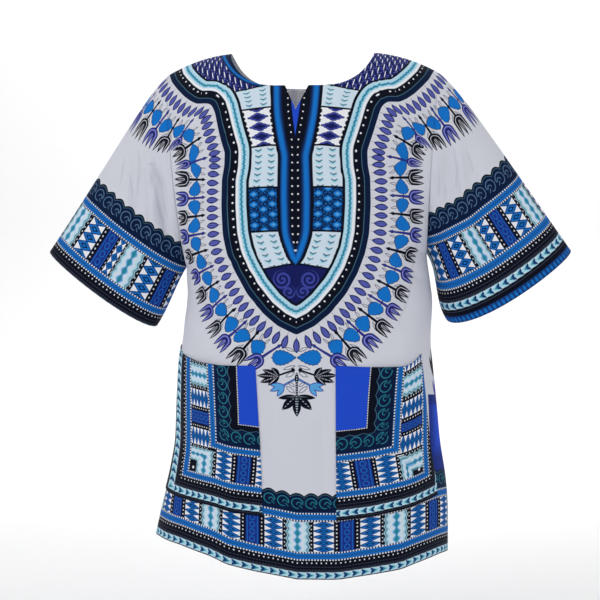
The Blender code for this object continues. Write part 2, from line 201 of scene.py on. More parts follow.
BODY_FOLDS = make_rows(
    Fold,
    (-150, -330, -105, -415, 16, -5.5), (-158, -372, -125, -436, 14, 4), (166, -325, 118, -405, 17, -6),
    (170, -385, 132, -432, 14, 4), (-168, -118, -140, -275, 18, -6), (170, -110, 146, -268, 18, -5.5),
)
SLEEVE_FOLDS = {
    Side.LEFT: make_rows(
        Fold,
        (-228, -135, -232, -262, 12, -9.8), (-208, -150, -184, -275, 11, -8.8),
        (-250, -140, -262, -215, 12, -5), (-216, -130, -211, -255, 8.5, 4),
    ),
    Side.RIGHT: make_rows(
        Fold,
        (206, -130, 209, -250, 12, -9.4), (190, -160, 182, -235, 10, -7.5),
        (232, -130, 243, -205, 12, -5), (221, -140, 226, -262, 9, 3.5),
    ),
}
SMALL_CREASES = {
    Face.FRONT: make_rows(
        Fold,
        (150, -215, 172, -252, 5, -2.7), (156, -236, 174, -268, 4.5, -2.4),
        (140, -300, 176, -330, 6, -3.1), (-150, -262, -167, -292, 5, -2.7),
        (-128, -322, -163, -345, 6.5, -3.1), (-92, -372, -140, -398, 8, -2.7),
        (92, -360, 150, -392, 8, -3.1), (-52, -520, -46, -640, 9, -1.7), (30, -500, 36, -655, 9, -1.7),
    ),
    Face.BACK: make_rows(
        Fold,
        (60, -300, 150, -345, 12, -5.1), (-52, -315, -146, -356, 12, -5.1),
        (30, -392, 128, -430, 13, -4.4), (-36, -405, -120, -436, 13, -4.1),
        (152, -205, 168, -262, 6, -3.1), (-150, -212, -166, -276, 6, -3.1), (10, -500, 18, -650, 12, -2),
    ),
}
SLEEVE_CREASES = {
    Side.LEFT: make_rows(
        Fold,
        (-246, -150, -240, -215, 4.5, -4), (-262, -165, -284, -240, 6.5, -4.5),
        (-198, -215, -186, -290, 5, -4.2), (-222, -180, -220, -270, 4, -3.4),
        (-280, -190, -310, -262, 7.5, -3.4), (-215, -152, -183, -221, 5, -4.2),
        (-209, -166, -215, -221, 4.5, -3.4),
    ),
    Side.RIGHT: make_rows(
        Fold,
        (218, -150, 222, -240, 4.5, -4), (246, -160, 268, -232, 6.5, -4.5),
        (196, -225, 188, -280, 5, -4.2), (262, -170, 300, -250, 7.5, -3.4),
        (243, -200, 262, -345, 7, -5), (255, -210, 275, -345, 8, 3),
    ),
}
# Thin creases that the flowers' materials draw as bumps with painted shade, in mm.
THIN_CREASES = {
    "sleeve_left": make_rows(
        Fold,
        (-252, -150, -262, -196, 2.4), (-231, -135, -233, -212, 2.8), (-217, -163, -192, -256, 2.6),
        (-207, -160, -190, -240, 2.2), (-219, -160, -204, -163, 2.6), (-243, -170, -241, -214, 2),
    ),
    "sleeve_right": make_rows(
        Fold,
        (214, -135, 220, -226, 2.8), (233, -140, 246, -205, 2.4), (196, -165, 188, -240, 2.6),
        (204, -190, 203, -236, 2),
    ),
    "front": make_rows(
        Fold,
        (-160, -246, -148, -300, 2.4), (-157, -300, -128, -372, 2.8), (166, -262, 150, -330, 2.6),
        (158, -318, 138, -390, 2.6), (172, -232, 150, -250, 2.4),
    ),
    "back": make_rows(
        Fold,
        (-150, -240, -120, -330, 2.8), (148, -236, 122, -322, 2.8), (-40, -360, -96, -420, 3),
        (36, -352, 100, -412, 3),
    ),
}


def smooth(value: Array, low: float, high: float) -> Array:
    """Rises from 0 at low to 1 at high, with level ends.

    Args:
        value: The numbers to read.
        low: Where the rise starts.
        high: Where it ends.

    Returns:
        Numbers from 0 to 1.
    """
    t = np.clip((value - low) / (high - low), 0.0, 1.0)
    return t * t * (3.0 - 2.0 * t)


def unit(vectors: Array) -> Array:
    """Scales vectors to length 1."""
    return vectors / np.maximum(np.linalg.norm(vectors, axis=-1, keepdims=True), 1e-12)


def running(steps: Array, axis: int = 0) -> Array:
    """Adds steps up along an axis, from 0."""
    none = np.zeros_like(np.take(steps, [0], axis=axis))
    return np.concatenate([none, np.cumsum(steps, axis=axis)], axis=axis)


def run_along(points: Array, axis: int = 0) -> Array:
    """Lengths along a row or grid of points, from its start."""
    return running(np.linalg.norm(np.diff(points, axis=axis), axis=-1), axis)


def eased_table(keys: Sequence[float], values: Sequence[float], spread: float) -> tuple:
    """Makes a table dense, and rounds it at its rows.

    Args:
        keys: The rows' places, rising.
        values: The rows' values.
        spread: How far each row's corner is rounded.

    Returns:
        The dense places and their values.
    """
    dense = np.linspace(keys[0], keys[-1], 801)
    step = dense[1] - dense[0]
    reach = int(3.0 * spread / step) + 1
    line = np.pad(np.interp(dense, keys, values), reach, mode="reflect", reflect_type="odd")
    kernel = np.exp(-0.5 * ((np.arange(-reach, reach + 1) * step) / spread) ** 2)
    return dense, np.convolve(line, kernel / kernel.sum(), mode="valid")


def cubic(places: Array, keys: Array, values: Array) -> Array:
    """Reads a smooth curve through a table's rows.

    Args:
        places: Where to read it.
        keys: The rows' places, rising.
        values: The rows' values, in the first axis.

    Returns:
        The values, one row for each place.
    """
    slopes = np.gradient(values, keys, axis=0)
    at = np.clip(np.searchsorted(keys, places, side="right") - 1, 0, len(keys) - 2)
    shape = (-1,) + (1,) * (values.ndim - 1)
    width = (keys[at + 1] - keys[at]).reshape(shape)
    t = (places - keys[at]).reshape(shape) / width
    return (
        (2 * t**3 - 3 * t**2 + 1) * values[at]
        + (t**3 - 2 * t**2 + t) * width * slopes[at]
        + (3 * t**2 - 2 * t**3) * values[at + 1]
        + (t**3 - t**2) * width * slopes[at + 1]
    )


def grid_normals(points: Array) -> Array:
    """Unit normals of a grid of points, on the side that rows cross columns gives."""
    down, across = np.gradient(points, axis=(0, 1))
    return unit(np.cross(down, across))


def fold_height(x: Array, z: Array, folds: Sequence[Fold]) -> Array:
    """Sum of the folds' heights at front-view places.

    Args:
        x: The places' X.
        z: The places' Z.
        folds: The folds to add up.

    Returns:
        A height for each place.
    """
    total = np.zeros(np.broadcast(x, z).shape)
    for fold in folds:
        x0, z0, x1, z1, width, height = (value * MM for value in fold)
        dx, dz = x1 - x0, z1 - z0
        length = math.hypot(dx, dz)
        along = ((x - x0) * dx + (z - z0) * dz) / length
        across = ((x - x0) * dz - (z - z0) * dx) / length
        end = 0.45 * length
        taper = smooth(along, -0.4 * end, end) * smooth(length - along, -0.4 * end, end)
        total = total + height * taper * np.exp(-((across / width) ** 2))
    return total


@dataclass
class BodyForm:
    """The form of the filled-out body: where the cloth is, at a place seen from the front."""

    neck_half_width: float = 0.1035
    shoulder_tip_x: float = 0.1945
    shoulder_tip_z: float = -0.0300
    shoulder_bend: float = 0.0210
    armhole_mid_x: float = 0.1830
    armhole_half_depth: float = 0.056
    chest_z: float = -0.300
    neck_base_z: float = 0.012
    shoulder_fall: float = 0.165
    armhole_fall: float = 0.1315
    section_easing: float = 0.010
    full_chest_z: float = -0.17
    chest_root: float = 1.12
    tables: dict = field(default_factory=dict)

    def __post_init__(self) -> None:
        """Rounds the section table's columns once."""
        levels = listed(BODY_SECTIONS, "z")
        for name in Section._fields[1:]:
            self.tables[name] = eased_table(levels, listed(BODY_SECTIONS, name), self.section_easing)

    def section_value(self, z: Array, name: str) -> Array:
        """Reads one column of the section table at levels."""
        return np.interp(z, *self.tables[name])

    def shoulder_height(self, x: Array) -> Array:
        """The shoulder line's level, carried on across the neck.

        Args:
            x: Distances from the centre.

        Returns:
            A level for each.
        """
        x = np.abs(x)
        t = (x - self.neck_half_width) / (self.shoulder_tip_x - self.neck_half_width)
        outer = (self.shoulder_tip_z + self.shoulder_bend) * t - self.shoulder_bend * t * t
        inner = self.neck_base_z * (1.0 - (x / self.neck_half_width) ** 2)
        return np.where(x < self.neck_half_width, inner, outer)

    def edge_width(self, z: Array, side: Side) -> Array:
        """Half-width to the armhole seam, or below it to the side seam.

        Args:
            z: The levels.
            side: The side of the body.

        Returns:
            A half-width for each.
        """
        under_z = UNDERARM_Z[side]
        low = self.section_value(z, side.value)
        t = np.clip((self.shoulder_tip_z - z) / (self.shoulder_tip_z - under_z), 0.0, 1.0)
        under = self.section_value(under_z, side.value)
        pull = 2 * self.armhole_mid_x - 0.5 * (self.shoulder_tip_x + under)
        curve = self.shoulder_tip_x * (1 - t) ** 2 + 2 * pull * t * (1 - t) + under * t**2
        return np.where(z > under_z, curve, low)

    def depth(self, x: Array, z: Array, side: Side, face: Face) -> Array:
        """Distance of the cloth in front of, or behind, the shoulder line.

        Args:
            x: Front-view X of the places.
            z: Their levels.
            side: The side of the body.
            face: Front or back.

        Returns:
            A depth for each place.
        """
        width = self.edge_width(z, side)
        u = np.clip(np.abs(x) / width, 0.0, 1.0)
        square = self.section_value(z, "squareness")
        fullness = smooth(-z, -self.full_chest_z, -UNDERARM_Z[side])
        root = self.chest_root + (square - self.chest_root) * fullness
        bulge = np.power(np.clip(1.0 - np.power(u, square), 0.0, 1.0), 1.0 / root)
        middle = 0.5 * (self.shoulder_tip_z + UNDERARM_Z[side])
        below = np.clip((z - middle) / (self.shoulder_tip_z - middle), -1.0, 0.0)
        side_depth = self.armhole_half_depth * np.sqrt(1.0 - below * below)
        depth = side_depth + (self.section_value(z, face.value) - side_depth) * bulge
        fall = self.armhole_fall + (self.shoulder_fall - self.armhole_fall) * (1.0 - u**2)
        t = np.clip((self.shoulder_height(x) - z) / fall, 0.0, 1.0)
        return depth * np.sqrt(np.clip(1.0 - (1.0 - t) ** 2, 0.0, 1.0))

    def section_places(self, z: Array, shares: Array, side: Side, face: Face) -> Array:
        """Points of level sections at shares of their length from the centre to the side.

        Args:
            z: The sections' levels.
            shares: The share wanted on each.
            side: The side of the body.
            face: Front or back.

        Returns:
            X and depth, one row for each level.
        """
        angles = np.linspace(0.0, 0.5 * math.pi, 161)[None, :]
        level = np.asarray(z, float)[:, None]
        x = self.edge_width(level, side) * np.sin(angles)
        y = self.depth(x, np.broadcast_to(level, x.shape), side, face)
        length = running(np.hypot(np.diff(x, axis=1), np.diff(y, axis=1)), 1)
        wanted = np.asarray(shares) * length[:, -1]
        return np.array(
            [
                (np.interp(w, run, row_x), np.interp(w, run, row_y))
                for w, run, row_x, row_y in zip(wanted, length, x, y)
            ]
        )


@dataclass
class Grid:
    """How finely a panel is divided: its blocks of rows and its columns on each side."""

    blocks: tuple = (("chest", 14, 6), ("mouth", 8, 5), ("bottom", 10, 6), ("hem", 4, 8))
    columns: dict = field(
        default_factory=lambda: {Side.LEFT: (3, 4, 6, 1), Side.RIGHT: (3, 4, 3, 4)}
    )
    column_steps: int = 7
    half: int = 14
    neck: int = 7

    @property
    def yoke_rows(self) -> int:
        """The fine rows from the top edge to the underarm."""
        return self.blocks[0][1] * self.blocks[0][2]

    @property
    def fine_half(self) -> int:
        """The fine columns from the centre to a side."""
        return self.half * self.column_steps

    def coarse_rows(self) -> Array:
        """The fine indices of the rows that the solids have.

        Returns:
            The indices, from the top edge down.
        """
        marks = [0]
        for _, count, steps in self.blocks:
            marks += [marks[-1] + steps * (k + 1) for k in range(count)]
        return np.array(marks)

    def shares(self, side: Side, level: float) -> Array:
        """Where a side's fine columns stand, as shares of the half section.

        Args:
            side: The side.
            level: 0 at the pocket's mouth, 1 at its bottom.

        Returns:
            The shares, from the centre.
        """
        low, high = BREAKS[side]
        ends = [a + (b - a) * level for a, b in zip(low, high)] + [1.0]
        marks = [0.0]
        for count, end in zip(self.columns[side], ends):
            start = marks[-1]
            marks += [start + (end - start) * (k + 1) / count for k in range(count)]
        fine = np.arange(self.fine_half + 1) / self.column_steps
        return np.interp(fine, np.arange(self.half + 1), marks)


FORM = BodyForm()
GRID = Grid()


@dataclass
class PanelSheet:
    """The front or back panel as a fine grid of points, with its places on the flat cloth."""

    face: Face
    station_easing: float = 0.018
    crease_height: float = 0.0085
    crease_reach: float = 0.060
    crease_round: float = 0.0016
    crease_start_z: float = -0.330
    crease_full_z: float = -0.440
    lean_levels: tuple = (-0.73, -0.45, -0.15)
    leans: tuple = (-0.0003, -0.0020, -0.0040)
    lean_width: float = 0.055
    points: Array = None
    flat: Array = None

    def top_edge(self) -> Array:
        """Front-view places of the top row: neckline, then shoulder seam.

        Returns:
            X and Z, from the centre out.
        """
        neck = np.array(NECKS[self.face])
        fine = np.arange(GRID.neck * GRID.column_steps + 1) / GRID.column_steps
        curve = cubic(fine[GRID.column_steps :], np.arange(1, len(neck)), neck[1:])
        notch = neck[0] + (neck[1] - neck[0]) * fine[: GRID.column_steps, None]
        outer = GRID.fine_half - GRID.neck * GRID.column_steps
        x = np.linspace(FORM.neck_half_width, FORM.shoulder_tip_x, outer + 1)[1:]
        return np.concatenate([notch, curve, np.stack([x, FORM.shoulder_height(x)], axis=1)])

    def half(self, side: Side) -> Array:
        """Points of half the panel, as rows by columns, from the centre to the side.

        Args:
            side: The half to make.

        Returns:
            Points whose Y is the depth.
        """
        top = self.top_edge()
        shares = GRID.shares(side, 0.0)
        u2 = np.linspace(0.0, 1.0, len(shares)) ** 2
        chest_z = FORM.chest_z + (UNDERARM_Z[side] - FORM.chest_z) * u2
        places = FORM.section_places(chest_z, shares, side, self.face)
        chest_share = places[:, 0] / FORM.edge_width(chest_z, side)
        top_share = top[:, 0] / FORM.shoulder_tip_x
        rows = []
        for i in range(GRID.yoke_rows + 1):
            even = i / GRID.yoke_rows
            round_off = 0.5 * (1.0 - math.cos(math.pi * even))
            g = (1.0 - u2) * even + u2 * round_off
            z = top[:, 1] + (chest_z - top[:, 1]) * g
            x = (top_share + (chest_share - top_share) * g) * FORM.edge_width(z, side)
            rows.append(np.stack([x, FORM.depth(x, z, side, self.face), z], axis=1))
        below = np.minimum(chest_z, UNDERARM_Z[side])
        below = FORM.section_places(below, GRID.shares(side, 0.0), side, self.face)
        shift = rows[-1][:, 0] - below[:, 0]
        stations = STATIONS[(self.face, side)]
        keys = listed(stations, "share")
        for name, count, steps in GRID.blocks[1:]:
            table = eased_table(keys, listed(stations, name), self.station_easing)
            upper = rows[-1][:, 2]
            for k in range(1, count * steps + 1):
                part = k / (count * steps)
                level = {"mouth": 0.0, "bottom": part, "hem": 1.0}[name]
                shares = GRID.shares(side, level)
                z = upper + (np.interp(shares, *table) - upper) * part
                x, y = FORM.section_places(z, shares, side, self.face).T
                if name == "mouth" and k < steps:
                    x = x + shift * (1.0 - smooth(k / steps, 0.0, 1.0))
                    y = FORM.depth(x, z, side, self.face)
                rows.append(np.stack([x, y, z], axis=1))
        return np.array(rows)

    def make(self) -> "PanelSheet":
        """Works out the points, the creases and folds, and the flat cloth.

        Returns:
            The sheet itself.
        """
        halves = []
        for side in Side:
            half = self.half(side)
            half[..., 1] *= self.face.sign
            if side is Side.LEFT:
                half[..., 0] *= -1.0
                half = half[:, ::-1]
            halves.append(half)
        points = np.concatenate([halves[0], halves[1][:, 1:]], axis=1)
        if self.face is Face.FRONT:
            lean = np.interp(points[..., 2], self.lean_levels, self.leans)
            points[..., 0] += lean * np.exp(-((points[..., 0] / self.lean_width) ** 2))
        out = grid_normals(points) * -self.face.sign
        z = points[..., 2]
        crease = np.zeros(z.shape)
        for side in Side:
            column = GRID.fine_half + int(side.sign) * sum(GRID.columns[side][:2]) * GRID.column_steps
            line = points[:, column : column + 1]
            away = np.linalg.norm((points - line)[..., :2], axis=2)
            away = np.sqrt(away**2 + self.crease_round**2) - self.crease_round
            crease += np.clip(1.0 - away / self.crease_reach, 0.0, 1.0) ** 1.25
        crease *= self.crease_height * smooth(-z, -self.crease_start_z, -self.crease_full_z)
        relief = crease + fold_height(points[..., 0], z, BODY_FOLDS + SMALL_CREASES[self.face])
        edge = np.abs(np.linspace(-1.0, 1.0, points.shape[1]))[None, :]
        relief *= 1.0 - smooth(edge, 0.90, 1.0)
        relief *= smooth(np.arange(points.shape[0])[:, None] / GRID.yoke_rows, 0.1, 0.5)
        self.points = points + out * relief[..., None]
        self.flat = self.unfold()
        return self

    def unfold(self) -> Array:
        """Lays the panel flat with the least stretch, the way its cloth is cut.

        Returns:
            Places on the flat cloth: X from the centre line, and V upwards, in metres.
        """
        rows = GRID.coarse_rows()
        columns = np.arange(0, self.points.shape[1], GRID.column_steps)
        flat = relax(self.points[np.ix_(rows, columns)])
        flat = cubic(np.arange(self.points.shape[0]), rows, flat)
        flat = cubic(np.arange(self.points.shape[1]), columns, flat.transpose(1, 0, 2))
        return flat.transpose(1, 0, 2)

    def level_at(self, z: float) -> float:
        """The flat cloth's V on the centre line, going on above the neckline.

        Args:
            z: A level seen from the front.

        Returns:
            Its V.
        """
        levels = self.points[:, GRID.fine_half, 2]
        above = max(z - levels[0], 0.0) * 1.05
        return float(np.interp(-z, -levels, self.flat[:, GRID.fine_half, 1]) + above)

    def flat_places(self, places: Sequence[tuple]) -> Array:
        """Carries front-view places onto the flat cloth.

        Args:
            places: X and Z of each, on the right half.

        Returns:
            X and V of each.
        """
        half = slice(GRID.fine_half, None)
        seen, flat = self.points[:, half][..., [0, 2]], self.flat[:, half]
        seen_ways, flat_ways = (np.stack(np.gradient(grid, axis=(0, 1)), axis=3) for grid in (seen, flat))
        found = []
        for place in places:
            away = np.linalg.norm(seen - np.array(place), axis=2)
            i, j = np.unravel_index(np.argmin(away), away.shape)
            i = min(max(i, 1), seen.shape[0] - 2)
            j = min(max(j, 1), seen.shape[1] - 2)
            step = np.linalg.lstsq(seen_ways[i, j], np.array(place) - seen[i, j], rcond=None)[0]
            found.append(flat[i, j] + flat_ways[i, j] @ np.clip(step, -2.0, 2.0))
        return np.array(found)


def relax(points: Array, rounds: int = 2600, share: float = 0.22) -> Array:
    """Flattens a grid of points, keeping the lengths of its rows, columns and diagonals.

    Args:
        points: The grid in space.
        rounds: How many times the lengths are corrected.
        share: The share of each correction that is taken.

    Returns:
        The grid on a plane: X from the middle column, V upwards from the level of its points.
    """
    row_count, column_count = points.shape[:2]
    middle = column_count // 2
    along = run_along(points, 1)
    along -= along[:, middle : middle + 1]
    down = np.linalg.norm(np.diff(points, axis=0), axis=2)
    fall = running(np.sqrt(np.maximum(down**2 - np.diff(along, axis=0) ** 2, (0.3 * down) ** 2)))
    start = row_count // 2
    flat = np.stack([along, points[start, :, 2][None, :] + fall[start] - fall], axis=2)
    whole, low, high = slice(None), slice(None, -1), slice(1, None)
    pairs = [((whole, low), (whole, high)), ((low, whole), (high, whole))]
    pairs += [((low, low), (high, high)), ((low, high), (high, low))]
    rests = [np.linalg.norm(points[b] - points[a], axis=2) for a, b in pairs]
    for _ in range(rounds):
        move = np.zeros_like(flat)
        for (a, b), rest in zip(pairs, rests):
            gap = flat[b] - flat[a]
            length = np.maximum(np.linalg.norm(gap, axis=2), 1e-9)
            pull = gap * (0.5 * (length - rest) / length)[..., None]
            move[a] += pull
            move[b] -= pull
        flat += move * share
        flat[:, middle, 0] = 0.0
    flat[..., 1] += points[start, middle, 2] - flat[start, middle, 1]
    return flat


@dataclass
class SleeveSheet:
    """A sleeve as a fine grid of rings, with its places carried on from the body's flat cloth."""

    side: Side
    front: PanelSheet
    back: PanelSheet
    rows: int = 88
    head_lift: float = math.radians(15.0)
    print_slope: float = math.radians(47.0)
    points: Array = None
    run: Array = None
    girth: Array = None

    def column(self) -> int:
        """The panels' column at this sleeve's armhole."""
        return 0 if self.side is Side.LEFT else -1

    def make(self) -> "SleeveSheet":
        """Works out the rings of points, and the lengths along and around the sleeve.

        Returns:
            The sheet itself.
        """
        cuff = CUFFS[self.side]
        sign = self.side.sign
        count = GRID.yoke_rows
        column = self.column()
        ring = np.concatenate(
            [self.front.points[: count + 1, column], self.back.points[count - 1 : 0 : -1, column]]
        )
        outer = np.array([sign * cuff.outer_x, 0.0, cuff.outer_z])
        inner = np.array([sign * cuff.inner_x, 0.0, cuff.inner_z])
        axis = np.array([sign * math.cos(cuff.slope), 0.0, -math.sin(cuff.slope)])
        angle = 2.0 * math.pi * np.arange(len(ring)) / len(ring)
        depth = cuff.half_depth * np.sign(np.sin(angle)) * np.abs(np.sin(angle)) ** 0.9
        end = 0.5 * (outer + inner) + np.cos(angle)[:, None] * 0.5 * (outer - inner)
        end[:, 1] -= depth
        bow = cuff.bow * np.maximum(np.sin(angle), 0.0) * (1.0 - 0.3 * np.cos(angle))
        end += axis * bow[:, None]
        reach = np.linalg.norm(end - ring, axis=1)[:, None]
        top = (0.5 + 0.5 * np.cos(angle))[:, None]
        slope = cuff.slope - self.head_lift * top[:, 0] ** 2
        start_way = np.stack([sign * np.cos(slope), 0.0 * slope, -np.sin(slope)], axis=1)
        t = np.linspace(0.0, 1.0, self.rows + 1)[:, None, None]
        points = (
            (1 - t) ** 3 * ring
            + 3 * t * (1 - t) ** 2 * (ring + start_way * reach * (0.30 - 0.15 * top))
            + 3 * t * t * (1 - t) * (end - axis * reach * (0.33 + 0.23 * top))
            + t**3 * end
        )
        closed = np.concatenate([points[:, -1:], points, points[:, :1]], axis=1)
        out = grid_normals(closed)[:, 1:-1] * (-sign)
        t = t[..., 0]
        folds = SLEEVE_FOLDS[self.side] + SLEEVE_CREASES[self.side]
        relief = fold_height(points[..., 0], points[..., 2], folds)
        relief *= smooth(t, 0.0, 0.22) * (1.0 - 0.7 * smooth(t, 0.75, 1.0))
        relief *= np.sqrt(np.abs(np.sin(angle)))[None, :]
        points = points + out * relief[..., None]
        self.points = np.concatenate([points, points[:, :1]], axis=1)
        self.run = run_along(self.points)
        self.girth = run_along(self.points[-1])
        return self

    def print_places(self) -> tuple:
        """Places on the body's flat cloth, carried on down the sleeve.

        Returns:
            Places for the front half's outline and for the back half's, as two grids.
        """
        count = GRID.yoke_rows
        column = self.column()
        way = np.array([math.cos(self.print_slope), -math.sin(self.print_slope)])
        grids = []
        for panel in (self.front, self.back):
            edge = panel.flat[: count + 1, column].copy()
            edge[:, 0] = np.abs(edge[:, 0])
            around = np.concatenate([edge, edge[-2::-1]])
            grids.append(around[None, :, :] + self.run[..., None] * way)
        return tuple(grids)


YOKE_OUTLINE = {
    Face.FRONT: (
        (0.0, -0.402), (0.0233, -0.3892), (0.0448, -0.3713), (0.0663, -0.3445), (0.0811, -0.3177),
        (0.0911, -0.2911), (0.0969, -0.2637), (0.0991, -0.2225), (0.0984, -0.1867), (0.095, -0.1689),
        (0.0943, -0.1496), (0.1036, -0.12), (0.111, -0.0941), (0.1166, -0.083), (0.1221, -0.08),
        (0.1383, -0.0795), (0.1486, -0.0742), (0.1592, -0.066), (0.1706, -0.0541), (0.1795, -0.0432),
    ),
    Face.BACK: (
        (0.0, -0.198), (0.03, -0.1945), (0.06, -0.183), (0.088, -0.164), (0.113, -0.139),
        (0.134, -0.111), (0.152, -0.085), (0.168, -0.062), (0.1795, -0.0432),
    ),
}
YOKE_UNITS = {Face.FRONT: 22, Face.BACK: 14}


@dataclass
class YokeRing:
    """Coordinates that follow the yoke's outline on the flat cloth, inwards and outwards.

    A unit holds two petals. Units start at 0 on the centre line and end with a whole number where
    the outline meets the top of the sleeve. Flower units do the same along the row of flowers, so
    that the flowers keep their size where the outline bends.
    """

    panel: PanelSheet
    samples: int = 360
    step: float = 1.5 * MM
    reach: int = 64
    corner_z: float = -0.085
    corner_spread: float = 0.100
    flower_row: float = 50.0 * MM
    flower_pitch: float = 25.0 * MM
    flower_start: float = 1.1
    tip_overlap: float = 8.0 * MM
    sleeve_slope: float = math.radians(47.0)
    sleeve_turn: float = 55.0 * MM
    round_line: float = 2.5 * MM
    round_near: float = 9.0 * MM
    round_wide: float = 55.0 * MM
    curves: Array = None
    flowers: Array = None
    outward: Array = None

    def make(self) -> "YokeRing":
        """Works out the outline, and the lines that run outwards from it without crossing.

        Returns:
            The ring itself.
        """
        places = self.panel.flat_places(YOKE_OUTLINE[self.panel.face])
        places[0, 0] = 0.0
        tip, inner = self.panel.flat[0, -1], self.panel.flat[0, -8]
        places = np.concatenate([places, [tip - unit(tip - inner) * self.tip_overlap]])
        length = run_along(places)
        at = np.linspace(0.0, length[-1], self.samples)
        line = np.stack([np.interp(at, length, places[:, k]) for k in (0, 1)], axis=1)
        spacing = at[1]
        line = self.rounded(line, self.round_line / spacing)
        line[0, 0] = 0.0
        tangent = unit(np.gradient(line, axis=0))
        out = np.stack([tangent[:, 1], -tangent[:, 0]], axis=1)
        way = np.array([math.cos(self.sleeve_slope), -math.sin(self.sleeve_slope)])
        aim = tip + way * self.step * self.reach
        share = smooth(at, length[-1] - self.sleeve_turn, length[-1])[:, None]
        out = unit(out * (1.0 - share) + unit(aim - line[-1]) * share)
        rays = self.rounded(out, self.round_near / spacing)
        if self.panel.face is Face.FRONT:
            wide = self.rounded(out, self.round_wide / spacing)
            corner = at[np.argmin(np.abs(line[:, 1] - self.panel.level_at(self.corner_z)))]
            bump = np.exp(-(((at - corner) / self.corner_spread) ** 2))[:, None]
            rays = rays * (1.0 - bump) + wide * bump
        away = np.arange(self.reach + 1)[:, None, None] * self.step
        self.curves = line[None] + unit(rays)[None] * away
        self.outward = out
        run = run_along(self.curves[round(self.flower_row / self.step)]) / self.flower_pitch
        start = self.flower_start if self.panel.face is Face.FRONT else 0.0
        self.flowers = (run - start) / (run[-1] - start) * round(run[-1] - start)
        return self

    def rounded(self, line: Array, spread: float) -> Array:
        """Rounds a row of vectors, mirrored at the centre line and held at the seam.

        Args:
            line: The row, from the centre line.
            spread: How far to round, in samples.

        Returns:
            The rounded row.
        """
        pad = int(3.0 * spread) + 1
        before = line[pad:0:-1] * np.array([-1.0, 1.0])
        after = 2.0 * line[-1] - line[-2 : -pad - 2 : -1]
        full = np.concatenate([before, line, after])
        kernel = np.exp(-0.5 * (np.arange(-pad, pad + 1) / spread) ** 2)
        kernel /= kernel.sum()
        return np.stack([np.convolve(full[:, k], kernel, mode="valid") for k in (0, 1)], axis=1)

    def place(self, flat: Array) -> tuple:
        """Finds each place's unit, its distance outside the outline and its unit's width.

        Args:
            flat: Places on the flat cloth, as a grid.

        Returns:
            A grid of (unit, distance, unit width) and one of (flower unit, its width, 0); the
            lengths are in metres.
        """
        shape = flat.shape[:2]
        spots = flat.reshape(-1, 2).copy()
        spots[:, 0] = np.abs(spots[:, 0])
        rows, columns = self.curves.shape[:2]
        tree = KDTree(rows * columns)
        for index, (x, v) in enumerate(self.curves.reshape(-1, 2)):
            tree.insert((x, v, 0.0), index)
        tree.balance()
        nearest = np.array([tree.find((x, v, 0.0))[1] for x, v in spots])
        k, n = np.divmod(nearest, columns)
        down = np.gradient(self.curves, axis=0)[k, n]
        across = np.gradient(self.curves, axis=1)[k, n]
        gap = spots - self.curves[k, n]
        area = across[:, 0] * down[:, 1] - across[:, 1] * down[:, 0]
        area = np.where(np.abs(area) < 1e-12, 1e-12, area)
        part_n = (gap[:, 0] * down[:, 1] - gap[:, 1] * down[:, 0]) / area
        part_k = (across[:, 0] * gap[:, 1] - across[:, 1] * gap[:, 0]) / area
        side = np.sum(gap * self.outward[n], axis=1)
        inside = (k == 0) & (side < 0.0)
        far = k == rows - 1
        part_n = np.clip(part_n, -1.0, 1.0)
        part_k = np.clip(part_k, -1.0, np.where(far, 40.0, 1.0))
        distance = np.where(inside, -np.linalg.norm(gap, axis=1), (k + part_k) * self.step)
        near = inside & (np.linalg.norm(gap, axis=1) < 3.0 * self.step)
        distance = np.where(near, side, distance)
        units = YOKE_UNITS[self.panel.face]
        place = (n + part_n) / (columns - 1) * units
        width = np.linalg.norm(across, axis=1) * (columns - 1) / units
        found = np.stack([place, distance, width], axis=1)
        change = np.maximum(np.gradient(self.flowers), 1e-3)[n]
        flower = self.flowers[n] + part_n * change
        flower_width = np.linalg.norm(across, axis=1) / change
        flowers = np.stack([flower, flower_width, np.zeros_like(flower)], axis=1)
        return found.reshape(*shape, 3), flowers.reshape(*shape, 3)


class PlacketRow(NamedTuple):
    """One level of the placket's print: its half-width, and half the gap of its rows of dots."""

    z: float
    width: float
    dots: float


PLACKET = make_rows(
    PlacketRow,
    (-0.3105, 0.0, -0.006), (-0.3077, 0.0027, -0.0045), (-0.2996, 0.01, -0.002), (-0.2914, 0.0134, 0.0),
    (-0.2818, 0.0171, 0.0014), (-0.2696, 0.021, 0.0033), (-0.2587, 0.0228, 0.004),
    (-0.215, 0.0238, 0.004), (-0.1586, 0.0233, 0.004), (-0.1466, 0.0262, 0.0045),
    (-0.1313, 0.0304, 0.0063), (-0.1038, 0.0378, 0.013), (-0.0786, 0.0429, 0.0177),
    (-0.058, 0.0472, 0.0218),
)


class BlockEdge(NamedTuple):
    """A line between two blocks of the yoke's columns: its level, and its slope outwards."""

    z: float
    slope: float


BLOCK_EDGES = make_rows(
    BlockEdge,
    (-0.3664, 0.2), (-0.3104, 0.2), (-0.26, 0.04), (-0.2007, 0.05), (-0.1451, 0.14), (-0.0945, 0.155),
    (-0.056, 0.42),
)
COLUMN_MIDDLE = 0.0356
BANDS_WIDTH = 0.0383
WEDGE_LEVELS = (-0.1290, -0.0700)
WEDGE_WIDTH = 0.0140


